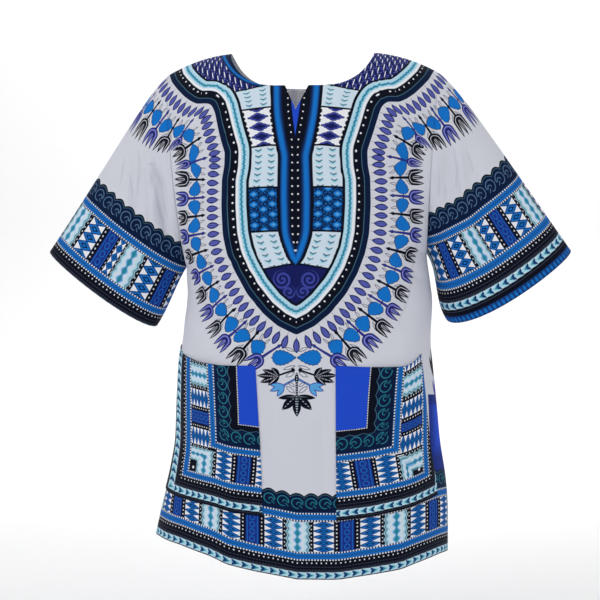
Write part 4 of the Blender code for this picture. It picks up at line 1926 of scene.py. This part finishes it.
class Border(Print):
    """The border along a hem, a cuff or round a pocket.

    p is the distance along it, q the distance from the cloth's edge and along the distance from
    the middle of a striped block.
    """

    def __init__(self, name: str, place: Place) -> None:
        """Reads the border's coordinates.

        Args:
            name: The material's name.
            place: Where the border runs.
        """
        super().__init__(name)
        self.place = place
        self.a, self.b, self.even = self.nodes.field("border")
        self.q = self.a & self.b
        if place is Place.POCKET:
            self.p = self.a | self.b
            under, beside, _ = self.nodes.field("blocks")
            self.along = under | beside
        else:
            self.p = self.even
            self.along = self.a - 6 * BLOCK_PERIOD

    def build(self) -> bpy.types.Material:
        """Prints the bands, then what stands on them.

        Returns:
            The material.
        """
        pocket = self.place is Place.POCKET
        bands = BORDER_BANDS + (POCKET_MIDDLE if pocket else ())
        low = bands[0][0]
        stops = [((at - low) / BANDS_REACH, ink) for at, ink in bands]
        self.colour = self.nodes.ramp((self.q - low) * (1 / BANDS_REACH), stops)
        self.arrows()
        self.dotted_bands()
        self.blocks(LONG_LOZENGE if self.place is Place.CUFF else LOZENGE)
        if pocket:
            self.ink(INKS.black, self.q.between(*BLOCK_ROW) & (-15 - self.along))
            self.ink(INKS.white, 2 - apart(self.a - 45.5, self.b - 43.5), 0.9)
            self.hooked_rings(self.p - 103, INKS.teal)
            self.pocket_edge()
        else:
            self.hooked_rings(self.p, INKS.steel if self.place is Place.CUFF else INKS.teal)
            self.scallops()
        return WEAVE.surface(self.nodes, self.colour)

    def arrows(self) -> None:
        """A pale strip of teal arrowheads, then black with two dashed lines and a row of dots."""
        p, q = self.p, self.q
        start = p.saw(12.4)
        away = abs(q - 5.55)
        head = (4.1 - start * 0.42 - away) & (start - 1.6 + away * 0.7)
        strip = 4.1 - away
        self.ink(INKS.cyan, (head + 2.6) & strip, 2)
        self.ink(INKS.teal, head & strip)
        self.ink(INKS.deep, head & (5 - start), 1.6)
        self.ink(INKS.grey, abs(q - 15).line(2, 0.6) & p.repeat(4.2).line(0, 3), 0.5)
        self.ink(INKS.grey, abs(q - 4.6).line(6.6, 0.6), 0.5)
        self.ink(INKS.white, 0.9 - apart(p.repeat(6.5), q - 22.3), 0.6)
        self.ink(INKS.blue, 2.2 - apart(p.repeat(7), (q + 12) * 0.8), 1.8)

    def dotted_bands(self) -> None:
        """Two bright bands edged with white dots, with a dark zigzag along their middles."""
        middle = abs(self.q - 31.45) & abs(self.q - 84.25)
        self.ink(INKS.navy, middle.between(3.7, 6.1))
        self.ink(INKS.deep, 0.42 - abs(middle - self.p.zigzag(4.4) * 0.8), 0.6)
        self.ink(INKS.white, 1.05 - apart(self.p.repeat(4), middle - 4.9), 0.6)

    def blocks(self, pitch: float) -> None:
        """The row of blocks: diamonds, dotted posts, wavy stripes and royal panels.

        Args:
            pitch: How far apart the lozenges are.
        """
        row = self.q.between(*BLOCK_ROW)
        w = self.q - 0.5 * sum(BLOCK_ROW)
        place = (self.along + 0.5 * BLOCK_PERIOD).zigzag(BLOCK_PERIOD)
        royal = row & (9.5 - place)
        self.ink(INKS.midnight, royal)
        curl = apart(place, w.repeat(9.6, 4.8)).line(3.4, 1.1) | place.line(7.2, 1)
        self.ink(INKS.blue, curl & royal, 1.2)
        posts = row & place.between(9.5, 17.5)
        self.ink(INKS.white, posts & (0.95 - apart(place - 13.5, w.repeat(5.1))), 0.7)
        x = abs(place - 30.5)
        lozenges = row & (13 - x)
        self.ink(INKS.blue, lozenges)
        kite = 0.5 * pitch - abs(w.repeat(pitch)) - x * (0.038 * pitch)
        self.ink(INKS.deep, lozenges & kite.line(-0.1, 1.1))
        self.ink(INKS.white, lozenges & (-0.9 - kite))
        self.ink(INKS.navy, lozenges & (kite - 0.22 * pitch))
        self.ink(INKS.bright, lozenges & (kite - 0.36 * pitch))
        stripes = row & (place - 49.7 - w.wave(9) * 1.2)
        self.ink(INKS.pale, stripes)
        middle = abs(place - 0.5 * BLOCK_PERIOD)
        outer = middle + w.wave(9) * 1.2
        self.ink(INKS.cyan, stripes & (outer - 10.2), 3)
        self.ink(INKS.sky, stripes & (3.6 - middle - w.wave(10) * 1.7), 2.4)
        self.ink(INKS.teal, stripes & (1.8 - middle - w.wave(10) * 1.1), 1)
        self.ink(INKS.slate, stripes & outer.line(13.6, 1.6), 1.2)
        self.ink(INKS.white, row & (0.75 - apart(place - 46.6, w.repeat(5.1))), 0.7)

    def hooked_rings(self, p: Value, ink: tuple) -> None:
        """A row of rings with a hook inside, on the dark upper band.

        Args:
            p: Distance along the row.
            ink: The rings' colour.
        """
        x = p.repeat(19) * 0.9
        y = self.q - 103
        slant = (x - y) * 0.7
        ring = apart(x, y).line(6.8, 1) & (5.7 - slant)
        hook = apart(x - 2.2, y + 1).line(2.7, 0.9) & (1.6 + y)
        tail = (0.55 - abs(x + y)) & slant.between(3.6, 8.6)
        self.ink(ink, (ring | hook | tail) & (self.q - 92), 0.6)

    def pocket_edge(self) -> None:
        """A scalloped line and white dashes beside the pocket's plain middle."""
        waves = abs((self.p - 103).wave(38))
        self.ink(INKS.slate, (self.q - 115 + waves * 3.6).line(0, 0.9), 0.7)
        dashes = self.q.line(126.5, 1.2) & (self.p - 103).repeat(3.4).line(0, 2.2)
        self.ink(INKS.white, dashes, 0.7)

    def scallops(self) -> None:
        """The scalloped upper edge, and what stands above it."""
        past = self.q - (112.8 + abs(self.p.wave(38)) * 4.4)
        self.ink(INKS.black, past + 2.6)
        self.ink(INKS.slate, (past + 2.6).line(0, 0.6), 0.8)
        above = INKS.ground
        if self.place is Place.FRONT_HEM:
            above = self.nodes.mix(INKS.ground, INKS.midnight, (self.even - STRIP_X).mask())
        self.ink(above, past)


PLACKET_GLOW = (
    (0.00, INKS.black),
    (0.13, INKS.black),
    (0.19, INKS.deep),
    (0.31, INKS.blue),
    (0.42, INKS.bright),
    (0.52, INKS.blue),
    (0.66, INKS.deep),
    (0.78, INKS.navy),
    (0.85, INKS.black),
)
GLOW_WIDTH = 20
PALE_BAND = (20.4, 35.4)
DASH_ROW = 11
DASH_PITCH = 7.8


class Yoke(Print):
    """Inside the yoke's outline: its bands, the placket and the columns of blocks.

    s counts units along the outline and e is the distance in from it. c is the share of the way
    across a column, level the place along its blocks and width its width.
    """

    def __init__(self, name: str, levels: Sequence[float]) -> None:
        """Reads the coordinates inside the outline.

        Args:
            name: The material's name.
            levels: The block edges' places, from the lowest, in metres.
        """
        super().__init__(name)
        s, self.d, self.unit_width = self.nodes.field("ring")
        c, self.level, self.width = self.nodes.field("columns")
        self.s = s * MM
        self.e = -self.d
        self.c = c * MM
        self.levels = [v * TO_MM for v in levels]

    def build(self) -> bpy.types.Material:
        """Prints the columns, the patch and the placket, and the bands over them.

        Returns:
            The material.
        """
        self.colour = INKS.indigo
        self.scroll()
        self.chevrons()
        self.diamonds()
        self.mosaic()
        for edge in self.levels[1:]:
            self.ink(INKS.black, (self.level - edge).line(0, 2.6))
        self.ink(INKS.black, 1 - self.from_side())
        self.patch()
        self.placket()
        self.bands()
        self.ink(INKS.ground, self.d, 0.3)
        return WEAVE.surface(self.nodes, self.colour)

    def from_side(self) -> Value:
        """Distance from the column's nearer side."""
        return (0.5 - abs(self.c - 0.5)) * self.width

    def scroll(self) -> None:
        """The heart below the placket: mirrored spirals on indigo, and a black tip."""
        tip, heart = self.levels[:2]
        x = abs(self.x)
        turn_width = 6.4
        spirals = ((18.5, heart - 16, 13, 1), (9.8, heart - 33, 9.2, -1))
        for at_x, at_v, radius, turn in spirals:
            dx = x - at_x
            dy = self.v - at_v
            away = apart(dx, dy)
            angle = dy.math("ARCTAN2", dy, dx) * turn
            arm = (away - angle * (turn_width / (2 * math.pi))).repeat(turn_width).line(0, 3.1)
            self.ink(INKS.violet, arm & (radius - away), 1.1)
        self.ink(INKS.black, tip - self.v + x * 0.3)
        rim = (self.v - tip + 9 - x * 0.85).line(0, 1) & (tip - self.v + 3)
        self.ink(INKS.violet, rim, 0.8)

    def chevrons(self) -> None:
        """Pale blocks with chevrons."""
        pale = (self.level - self.levels[1]) & (self.levels[6] - self.level)
        self.ink(INKS.pale, pale)
        t = abs((abs(self.c - 0.485) - 0.235) * self.width)
        wing = (self.level - t * 0.55).repeat(8.6)
        near = (4.6 - t) & pale
        self.ink(INKS.cyan, wing.line(-1.6, 3.4) & near, 1.2)
        self.ink(INKS.slate, (1.25 - t * 0.12 - abs(wing)) & near, 0.8)

    def diamonds(self) -> None:
        """A block of stacked diamonds with jagged edges, and teeth at its sides."""
        low, high = self.levels[4:6]
        area = self.level.between(low, high)
        y = self.level.repeat(14.6, (low + high) * 0.5)
        jag = (y.zigzag(2.4) - 0.6) * 1.6
        stack = 15.6 - abs(y) * 2.1 - abs((self.c - 0.5) * self.width) + jag
        self.ink(INKS.white, area)
        self.ink(INKS.lilac, area & stack)
        self.ink(INKS.dusk, area & stack.line(0.4, 1.6), 0.5)
        self.ink(INKS.violet, area & (stack - 1.2), 1)
        self.ink(INKS.indigo, area & (stack - 6), 2.6)
        self.ink(INKS.black, area & (3.4 - self.from_side() - abs(y.repeat(6.2)) * 0.9))

    def mosaic(self) -> None:
        """A block of bright lozenges in a dark network."""
        low, high = self.levels[2:4]
        area = self.level.between(low, high)
        x = (self.c - 0.5) * self.width
        self.ink(INKS.deep, area)
        self.ink(INKS.blue, area & (self.level + abs(x)).wave(5.2) * 2, 1.2)
        net = self.nodes.add(
            "ShaderNodeTexVoronoi",
            {"feature": "DISTANCE_TO_EDGE", "voronoi_dimensions": "2D"},
            {"Vector": self.nodes.vector(x, self.level), "Scale": 0.26, "Randomness": 0.8},
        )
        cell = Value(self.nodes, net.outputs["Distance"])
        self.ink(INKS.navy, area & (0.8 - cell * 5), 0.7)
        y = self.level - 0.5 * (low + high)
        for start, shift in ((0, 0), (13, 7.2)):
            t = abs(abs(x) - start)
            lozenge = 4.6 - (t * 0.8 | (t * 0.55 + abs(y.repeat(14.4, shift)) * 0.95))
            self.ink(INKS.navy, area & (lozenge + 1.3), 0.9)
            self.ink(INKS.bright, area & lozenge, 0.9)
            self.ink(INKS.sky, area & (lozenge - 2.4), 1.6)

    def patch(self) -> None:
        """The shoulder patch: indigo with slanting white dashes and small marks."""
        above = self.level - self.levels[-1]
        area = above - 1.6
        self.ink(INKS.black, above)
        self.ink(INKS.indigo, area)
        slant = abs((self.x + self.v * 0.3).repeat(9)) - 3.6
        self.ink(INKS.violet, (area - 3) & slant, 3)
        finish, _, _ = self.nodes.field("edges")
        glow = 16 - finish - (self.x + 92) * 0.12
        x = abs(self.x)
        side = self.v * 0.88 - x * 0.46
        row = (side * (1 / DASH_ROW)).floor()
        along = x * 0.94 - self.v * 0.34 + row * 3.9
        t = (along - side * 0.10).repeat(DASH_PITCH)
        w = abs(side.repeat(DASH_ROW, 0.5 * DASH_ROW))
        self.ink(INKS.white, (0.72 - abs(t) - w * 0.06) & (3.5 - w) & area, 0.5)
        mark = 0.7 - apart(along.repeat(DASH_PITCH, 0.5 * DASH_PITCH), side.repeat(DASH_ROW))
        self.ink(INKS.lilac, mark & area, 0.6)
        self.ink(INKS.navy, glow & area, 0.6)
        self.ink(INKS.blue, glow.line(3.4, 3) & area, 2.4)

    def placket(self) -> None:
        """The placket: black edge, a blue glow, black middle with rows of dots, royal wedge."""
        inside, dots, wedge = self.nodes.field("placket")
        self.ink(self.nodes.ramp(inside * (1 / GLOW_WIDTH), PLACKET_GLOW, sharp=False), inside)
        self.ink(INKS.white, 1.15 - apart(dots, self.v.repeat(11)), 0.7)
        self.ink(INKS.royal, -wedge & (self.v + 126))

    def bands(self) -> None:
        """The bands that follow the outline, over everything nearer than their width."""
        e, units = self.e, self.s * 25
        pale = e.between(*PALE_BAND)
        self.ink(INKS.black, BANDS_WIDTH * TO_MM - e)
        self.ink(INKS.pale, pale)
        self.ink(INKS.white, e.between(20.8, 24.2), 1.5)
        self.share(INKS.cyan, (((e - 26) * 0.12 & 0.6) | 0) * pale.mask())
        zig = units.zigzag(3.3) * 0.8 + units.wave(7.9) * 0.5 + 28
        self.ink(INKS.cyan, e.line(28, 6.2) & pale, 2.4)
        self.ink(INKS.sky, e.line(zig, 3.6) & pale, 1.4)
        self.ink(INKS.teal, e.line(zig, 2.5), 0.8)
        t = self.s.repeat(0.5, 0.25) * self.unit_width
        self.ink(INKS.white, 1.3 - apart(t, e - 16.2), 0.6)
        self.ink(INKS.navy, 8.2 - e)
        self.ink(INKS.slate, e.line(8.4, 0.9), 0.6)


BLOSSOM_LEAVES = ((29, 7, 0.20, 1.9), (57, 3.4, 0.55, 1.7), (29.5, 18.6, -0.12, 1.6))
CLUSTER_LEAVES = (
    ((2.5, -424.5), (16.5, -418.5), 2.2),
    ((1.5, -444), (19, -449.5), 2.4),
    ((2.5, -453), (15.5, -459.5), 2.8),
    ((2.5, -482), (15, -472), 2.8),
    ((2.5, -473), (12, -466.5), 2.2),
)


class Flowers(Print):
    """The pale ground with its rows of petals, blossoms and tulips round the yoke.

    s counts units along the outline and d is the distance out from it. f counts flowers, and span
    is how far apart they are.
    """

    def __init__(self, name: str, front_shift: float | None = None) -> None:
        """Reads the coordinates round the outline.

        Args:
            name: The material's name.
            front_shift: The flat cloth's V less the level, in metres, for the front's hanging
                cluster; None where there is no cluster.
        """
        super().__init__(name)
        s, self.d, self.width = self.nodes.field("ring")
        f, self.span, _ = self.nodes.field("flower")
        self.s = s * MM
        self.f = f * MM
        self.front_shift = front_shift

    def build(self) -> bpy.types.Material:
        """Prints the rows of flowers and, on the front, what hangs below them.

        Returns:
            The material.
        """
        front = self.front_shift is not None
        f = self.f
        first = f - 1 if front else f + 9
        self.ink(INKS.navy, -self.d, 0.3)
        self.petals()
        d = self.d + (((6 - f) * 1.9 | 0) & 9) if front else self.d
        self.blossoms(d, first)
        t = f.repeat(1) * self.span
        even = (0.5 - abs(f.repeat(2))).above(0)
        here = (first - 0.5) * 20 & (self.span - 9)
        long = ((f - 16) * 0.4 | 0) & 1
        self.tulip(t, d, even, here, 1 - long * 0.35)
        if front:
            self.cluster(abs(self.x), self.v - self.front_shift * TO_MM)
            self.side_print()
        # Thin creases, drawn as bumps with painted shade.
        creases = THIN_CREASES[self.name.removesuffix("_flowers")]
        return WEAVE.surface(self.nodes, self.colour, creases=creases)

    def petals(self) -> None:
        """A row of pointed periwinkle petals along the outline."""
        t = abs(self.s.repeat(0.5) * self.width)
        u = (self.d - 5.5) * (1 / 20)
        full = (u * (1 - u) * 4 | 0) ** 0.8
        shape = (full * (u * 1.6 + 3.6) - t) & (1 - u) * 20
        self.ink(INKS.dusk, shape + 0.2)
        self.ink(INKS.violet, shape - 1.2, 0.8)
        self.ink(INKS.periwinkle, (shape - 1.6) & t.line(1.4, 1.7), 1)

    def blossoms(self, d: Value, first: Value) -> None:
        """Bright blossoms in pairs, pointed towards the dark stem between them.

        Args:
            d: Distance out from the outline.
            first: How many flowers a place is past the first pair.
        """
        m = abs(self.f.repeat(2)) * self.span
        u = (m - 1.2) * (1 / 21.5)
        y = d - 46.5 - m * 0.22
        shape = (u * (1 - u).root() * 28.5 - abs(y) + m.wave(5.6) * 0.35) & (1 - u) * 20
        here = (first * 20) & u * 20 & d.between(34, 66)
        self.ink(INKS.navy, (shape + 1) & here, 0.4)
        self.ink(INKS.blue, shape & here)
        self.ink(INKS.bright, (shape - 2.2) & here, 2.5)
        for start, across, slope, half in BLOSSOM_LEAVES:
            along = d - start
            share = along * (1 / 13)
            blade = share * (1 - share) * (4 * half) - abs(m - across - along * slope)
            self.ink(INKS.grey, (0.42 - abs(blade - 0.4)) & first * 20, 0.5)

    def tulip(self, t: Value, d: Value, even: object, here: Value, narrow: object) -> None:
        """A stem with a bud at its foot, and a nested three-pronged head.

        Args:
            t: Distance across the stem.
            d: Distance along it; the bud is at 33.5 and the head from 60 on.
            even: 1 for a black one, 0 for a purple one.
            here: A shape that it is printed in.
            narrow: 1 for short prongs, less for longer ones.
        """
        size = abs(t)
        ink = self.nodes.mix(INKS.purple, INKS.black, even)
        rim = self.nodes.mix(INKS.dusk, INKS.black, even)
        light = self.nodes.mix(INKS.lilac, INKS.ground, even)
        stalk = (1.25 + (d - 33) * 0.025 - size) & d.between(33, 66)
        bud = 3.8 - size * 1.7 - abs(d - 33.5) * 0.66
        self.ink(rim, (stalk | bud + 0.4) & here, 0.5)
        self.ink(ink, ((bud - 1) | (stalk - 0.7)) & here, 0.5)
        past = d - 72
        outward = (past | 0) * narrow
        bowl = apart(t, past & 0)
        taper = outward * outward * 0.0125
        shell = 3.2 - taper - abs(bowl - 7 - outward * 0.10)
        head = (shell | (3.3 - taper - bowl)) & (d - 60)
        self.ink(rim, (head + 0.35) & here, 0.4)
        self.ink(ink, (head - 0.7) & here, 0.5)
        grooves = abs(bowl - 7.2 - outward * 0.10).line(0, 0.9) | abs(bowl - 1.2).line(0, 0.7)
        self.ink(light, grooves & (head - 0.9) & here, 0.7)

    def cluster(self, x: Value, v: Value) -> None:
        """The hanging cluster at the bottom: blossoms, leaf heads, tulips and a dark rosette.

        Args:
            x: Distance from the centre line.
            v: The level.
        """
        along = x - 1.2
        u = along * (1 / 32.5)
        y = v + 433
        blossom = (u * (1 - u).root() * 25.5 - abs(y) + along.wave(5.4) * 0.4) & (1 - u) * 20
        self.ink(INKS.navy, (blossom + 0.9) & (along + 0.6), 0.5)
        self.ink(INKS.blue, blossom)
        self.ink(INKS.bright, blossom - 2.2, 2.5)
        heads = stem(x, v, (5.5, -450.5), (26, -457.5), 1.3)
        heads = heads | (2.8 - apart(x - 5, v + 450))
        veins = leaf(x, v, (25.5, -458.5), (35, -446.5), 0.5)
        for end in ((35, -446.5), (48, -449.5), (55.5, -457.5), (51.5, -467), (40, -471)):
            heads = heads | leaf(x, v, (23.5, -458.5), end, 4.2)
            veins = veins | leaf(x, v, (25.5, -458.5), end, 0.5)
        self.ink(INKS.black, heads)
        self.ink(INKS.ground, veins & (v + x).repeat(3).line(0, 1.5), 0.6)
        tulips = stem(x, v, (0.5, -461.5), (20, -472), 1.5)
        for end in ((37, -470.5), (37.5, -479), (27.5, -486.5)):
            tulips = tulips | leaf(x, v, (16.5, -471), end, 3.7)
        self.ink(INKS.purple, tulips)
        self.ink(INKS.sky, tulips - 1.1)
        rosette = (1.6 - x) & v.between(-488, -458)
        rosette = rosette | leaf(x, v, (0, -453), (0, -470), 2.8)
        veins = 0.5 - x
        for end, half in (((26, -488.5), 3.4), ((20.5, -504.5), 6), ((0, -514), 5.8)):
            rosette = rosette | leaf(x, v, (0, -485.5), end, half)
            veins = veins | leaf(x, v, (2, -486.5), end, 0.45)
        self.ink(INKS.black, rosette)
        self.ink(INKS.pale, veins & (rosette - 1.1) & v.repeat(3.4).line(0, 1.3), 0.5)
        at, across, _ = self.nodes.turned(x, v, (24.5, -417), (54.5, -436))
        self.tulip(across, at * 1.05 + 33.5, 0, at + 6, 1)
        for start, end, half in CLUSTER_LEAVES:
            self.ink(INKS.grey, 0.45 - abs(leaf(x, v, start, end, half) - 0.4), 0.5)

    def side_print(self) -> None:
        """The royal block and the flower heads on the strip between a pocket and the side seam."""
        x, v = self.x, self.v
        strip = x - STRIP_X
        self.ink(INKS.midnight, strip & v.between(-640, -486))
        self.ink(INKS.royal, (x - 218) & v.between(-562, -496), 22)
        purple_tips = ((224, -466), (236, -458), (252, -458), (268, -466))
        black_tips = ((218, -432), (230, -420), (244, -420), (256, -434))
        for foot, tips, half, ink, light in (
            ((246, -500), purple_tips, 5.5, INKS.purple, INKS.lilac),
            ((236, -462), black_tips, 5, INKS.black, INKS.grey),
        ):
            for tip in tips:
                blade = leaf(x, v, foot, tip, half)
                self.ink(ink, blade)
                self.ink(light, (blade - 1.6).line(0.5, 0.7), 0.6)
        dashes = (x * 0.9 + v).repeat(6).line(0, 2.4)
        self.ink(INKS.navy, strip & v.between(-500, -486) & dashes)


@dataclass
class Studio:
    """The camera where the photograph was taken from, a pale floor and wall, and soft lamps."""

    distance: float = 2.4
    turn: float = math.radians(3.6)
    height: float = -0.35
    pixel: float = 1.437e-3
    picture: int = 600
    axis_px: tuple = (303.5, 297.0)
    floor_z: float = -0.86
    wall_y: float = 3.6

    def build(self) -> None:
        """Places everything."""
        self.backdrop()
        self.lamps()
        self.camera()

    def backdrop(self) -> None:
        """A floor that curves up into a wall."""
        shape = bmesh.new()
        bmesh.ops.create_grid(shape, x_segments=1, y_segments=40, size=0.5)
        radius = 0.8
        for vertex in shape.verts:
            t = vertex.co.y + 0.5
            vertex.co.x *= 14.0
            angle = (min(max(t, 0.4), 0.7) - 0.4) / 0.3 * 0.5 * math.pi
            y = -6.0 + min(t, 0.4) / 0.4 * (6.0 + self.wall_y - radius)
            z = self.floor_z + max(t - 0.7, 0.0) / 0.3 * 5.0
            vertex.co.y = y + radius * math.sin(angle)
            vertex.co.z = z + radius * (1.0 - math.cos(angle))
        data = bpy.data.meshes.new("backdrop")
        shape.to_mesh(data)
        shape.free()
        data.shade_smooth()
        nodes = Nodes("backdrop_white")
        shader = nodes.add(
            "ShaderNodeBsdfPrincipled", {}, {"Base Color": (0.93, 0.93, 0.935, 1.0), "Roughness": 0.9}
        )
        nodes.add("ShaderNodeOutputMaterial", {}, {0: shader.outputs[0]})
        data.materials.append(nodes.material)
        backdrop = bpy.data.objects.new("backdrop", data)
        bpy.context.scene.collection.objects.link(backdrop)

    def lamps(self) -> None:
        """A large soft key lamp, a fill, a top lamp and a white world."""
        for name, place, aim, size, watts in (
            ("key", (-1.7, -2.3, 1.0), (0.0, 0.0, -0.35), 1.6, 17.1),
            ("fill", (2.1, -2.2, 0.2), (0.0, 0.0, -0.4), 1.8, 6.6),
            ("top", (0.0, -0.2, 2.1), (0.0, 0.1, -0.4), 1.4, 5.5),
            ("wall", (0.0, 2.3, 2.4), (0.0, 4.1, -0.6), 2.4, 52.0),
        ):
            data = bpy.data.lights.new(name, "AREA")
            data.shape = "DISK"
            data.size = size
            data.energy = watts
            lamp = bpy.data.objects.new(name, data)
            lamp.location = place
            lamp.rotation_euler = (Vector(aim) - Vector(place)).to_track_quat("-Z", "Y").to_euler()
            bpy.context.scene.collection.objects.link(lamp)
        world = bpy.data.worlds.new("studio")
        world.use_nodes = True
        background = world.node_tree.nodes["Background"]
        background.inputs[0].default_value = (1.0, 1.0, 1.0, 1.0)
        background.inputs[1].default_value = 0.61
        scene = bpy.context.scene
        scene.world = world
        scene.view_settings.view_transform = "Standard"

    def camera(self) -> None:
        """The camera, level with the shirt's middle."""
        data = bpy.data.cameras.new("camera")
        data.sensor_width = 36.0
        data.lens = 36.0 * self.distance / (self.picture * self.pixel)
        data.shift_x = (0.5 * self.picture - self.axis_px[0]) / self.picture
        data.shift_y = -(0.5 * self.picture - self.axis_px[1]) / self.picture
        camera = bpy.data.objects.new("camera", data)
        x = self.distance * math.sin(self.turn)
        y = -self.distance * math.cos(self.turn)
        camera.location = (x, y, self.height)
        camera.rotation_euler = (0.5 * math.pi, 0.0, self.turn)
        scene = bpy.context.scene
        scene.collection.objects.link(camera)
        scene.camera = camera


CLUSTER_Z = -0.45


def main() -> None:
    """Builds the shirt's pieces in order, and the studio."""
    logging.basicConfig(level=logging.INFO, format="%(message)s")
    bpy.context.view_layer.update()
    tailor = Tailor()
    tailor.make_body()
    cloths = []
    for panel in (tailor.front, tailor.back):
        name = panel.face.value
        is_front = panel.face is Face.FRONT
        shift = panel.level_at(CLUSTER_Z) - CLUSTER_Z if is_front else None
        faces = [
            Flowers(f"{name}_flowers", shift).build(),
            Yoke(f"{name}_yoke", YokeInside(panel).levels()).build(),
            Border(f"{name}_border", Place.FRONT_HEM if is_front else Place.HEM).build(),
        ]
        cloths.append(tailor.panel(panel, faces + [Reverse(f"{name}_reverse").build()] * 3))
    for side in Side:
        name = f"sleeve_{side.value}"
        faces = [Flowers(f"{name}_flowers").build(), Border(f"{name}_border", Place.CUFF).build()]
        cloths.append(tailor.sleeve(side, faces + [Reverse(f"{name}_reverse").build()] * 2))
    for side in Side:
        name = f"pocket_{side.value}"
        faces = [Border(f"{name}_border", Place.POCKET).build()]
        cloths.append(tailor.pocket(side, faces + [Reverse(f"{name}_reverse").build()]))
    for cloth in cloths:
        piece = cloth.build()
        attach(piece, BODY)
        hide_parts(cloth.name)
        width, length = cloth.cut()
        area = min(cloth.area(), width * length)
        logging.info("%s: %.3f m2, cut %.3f x %.3f m", cloth.name, area, width, length)
    Studio().build()


if __name__ == "__main__":
    main()
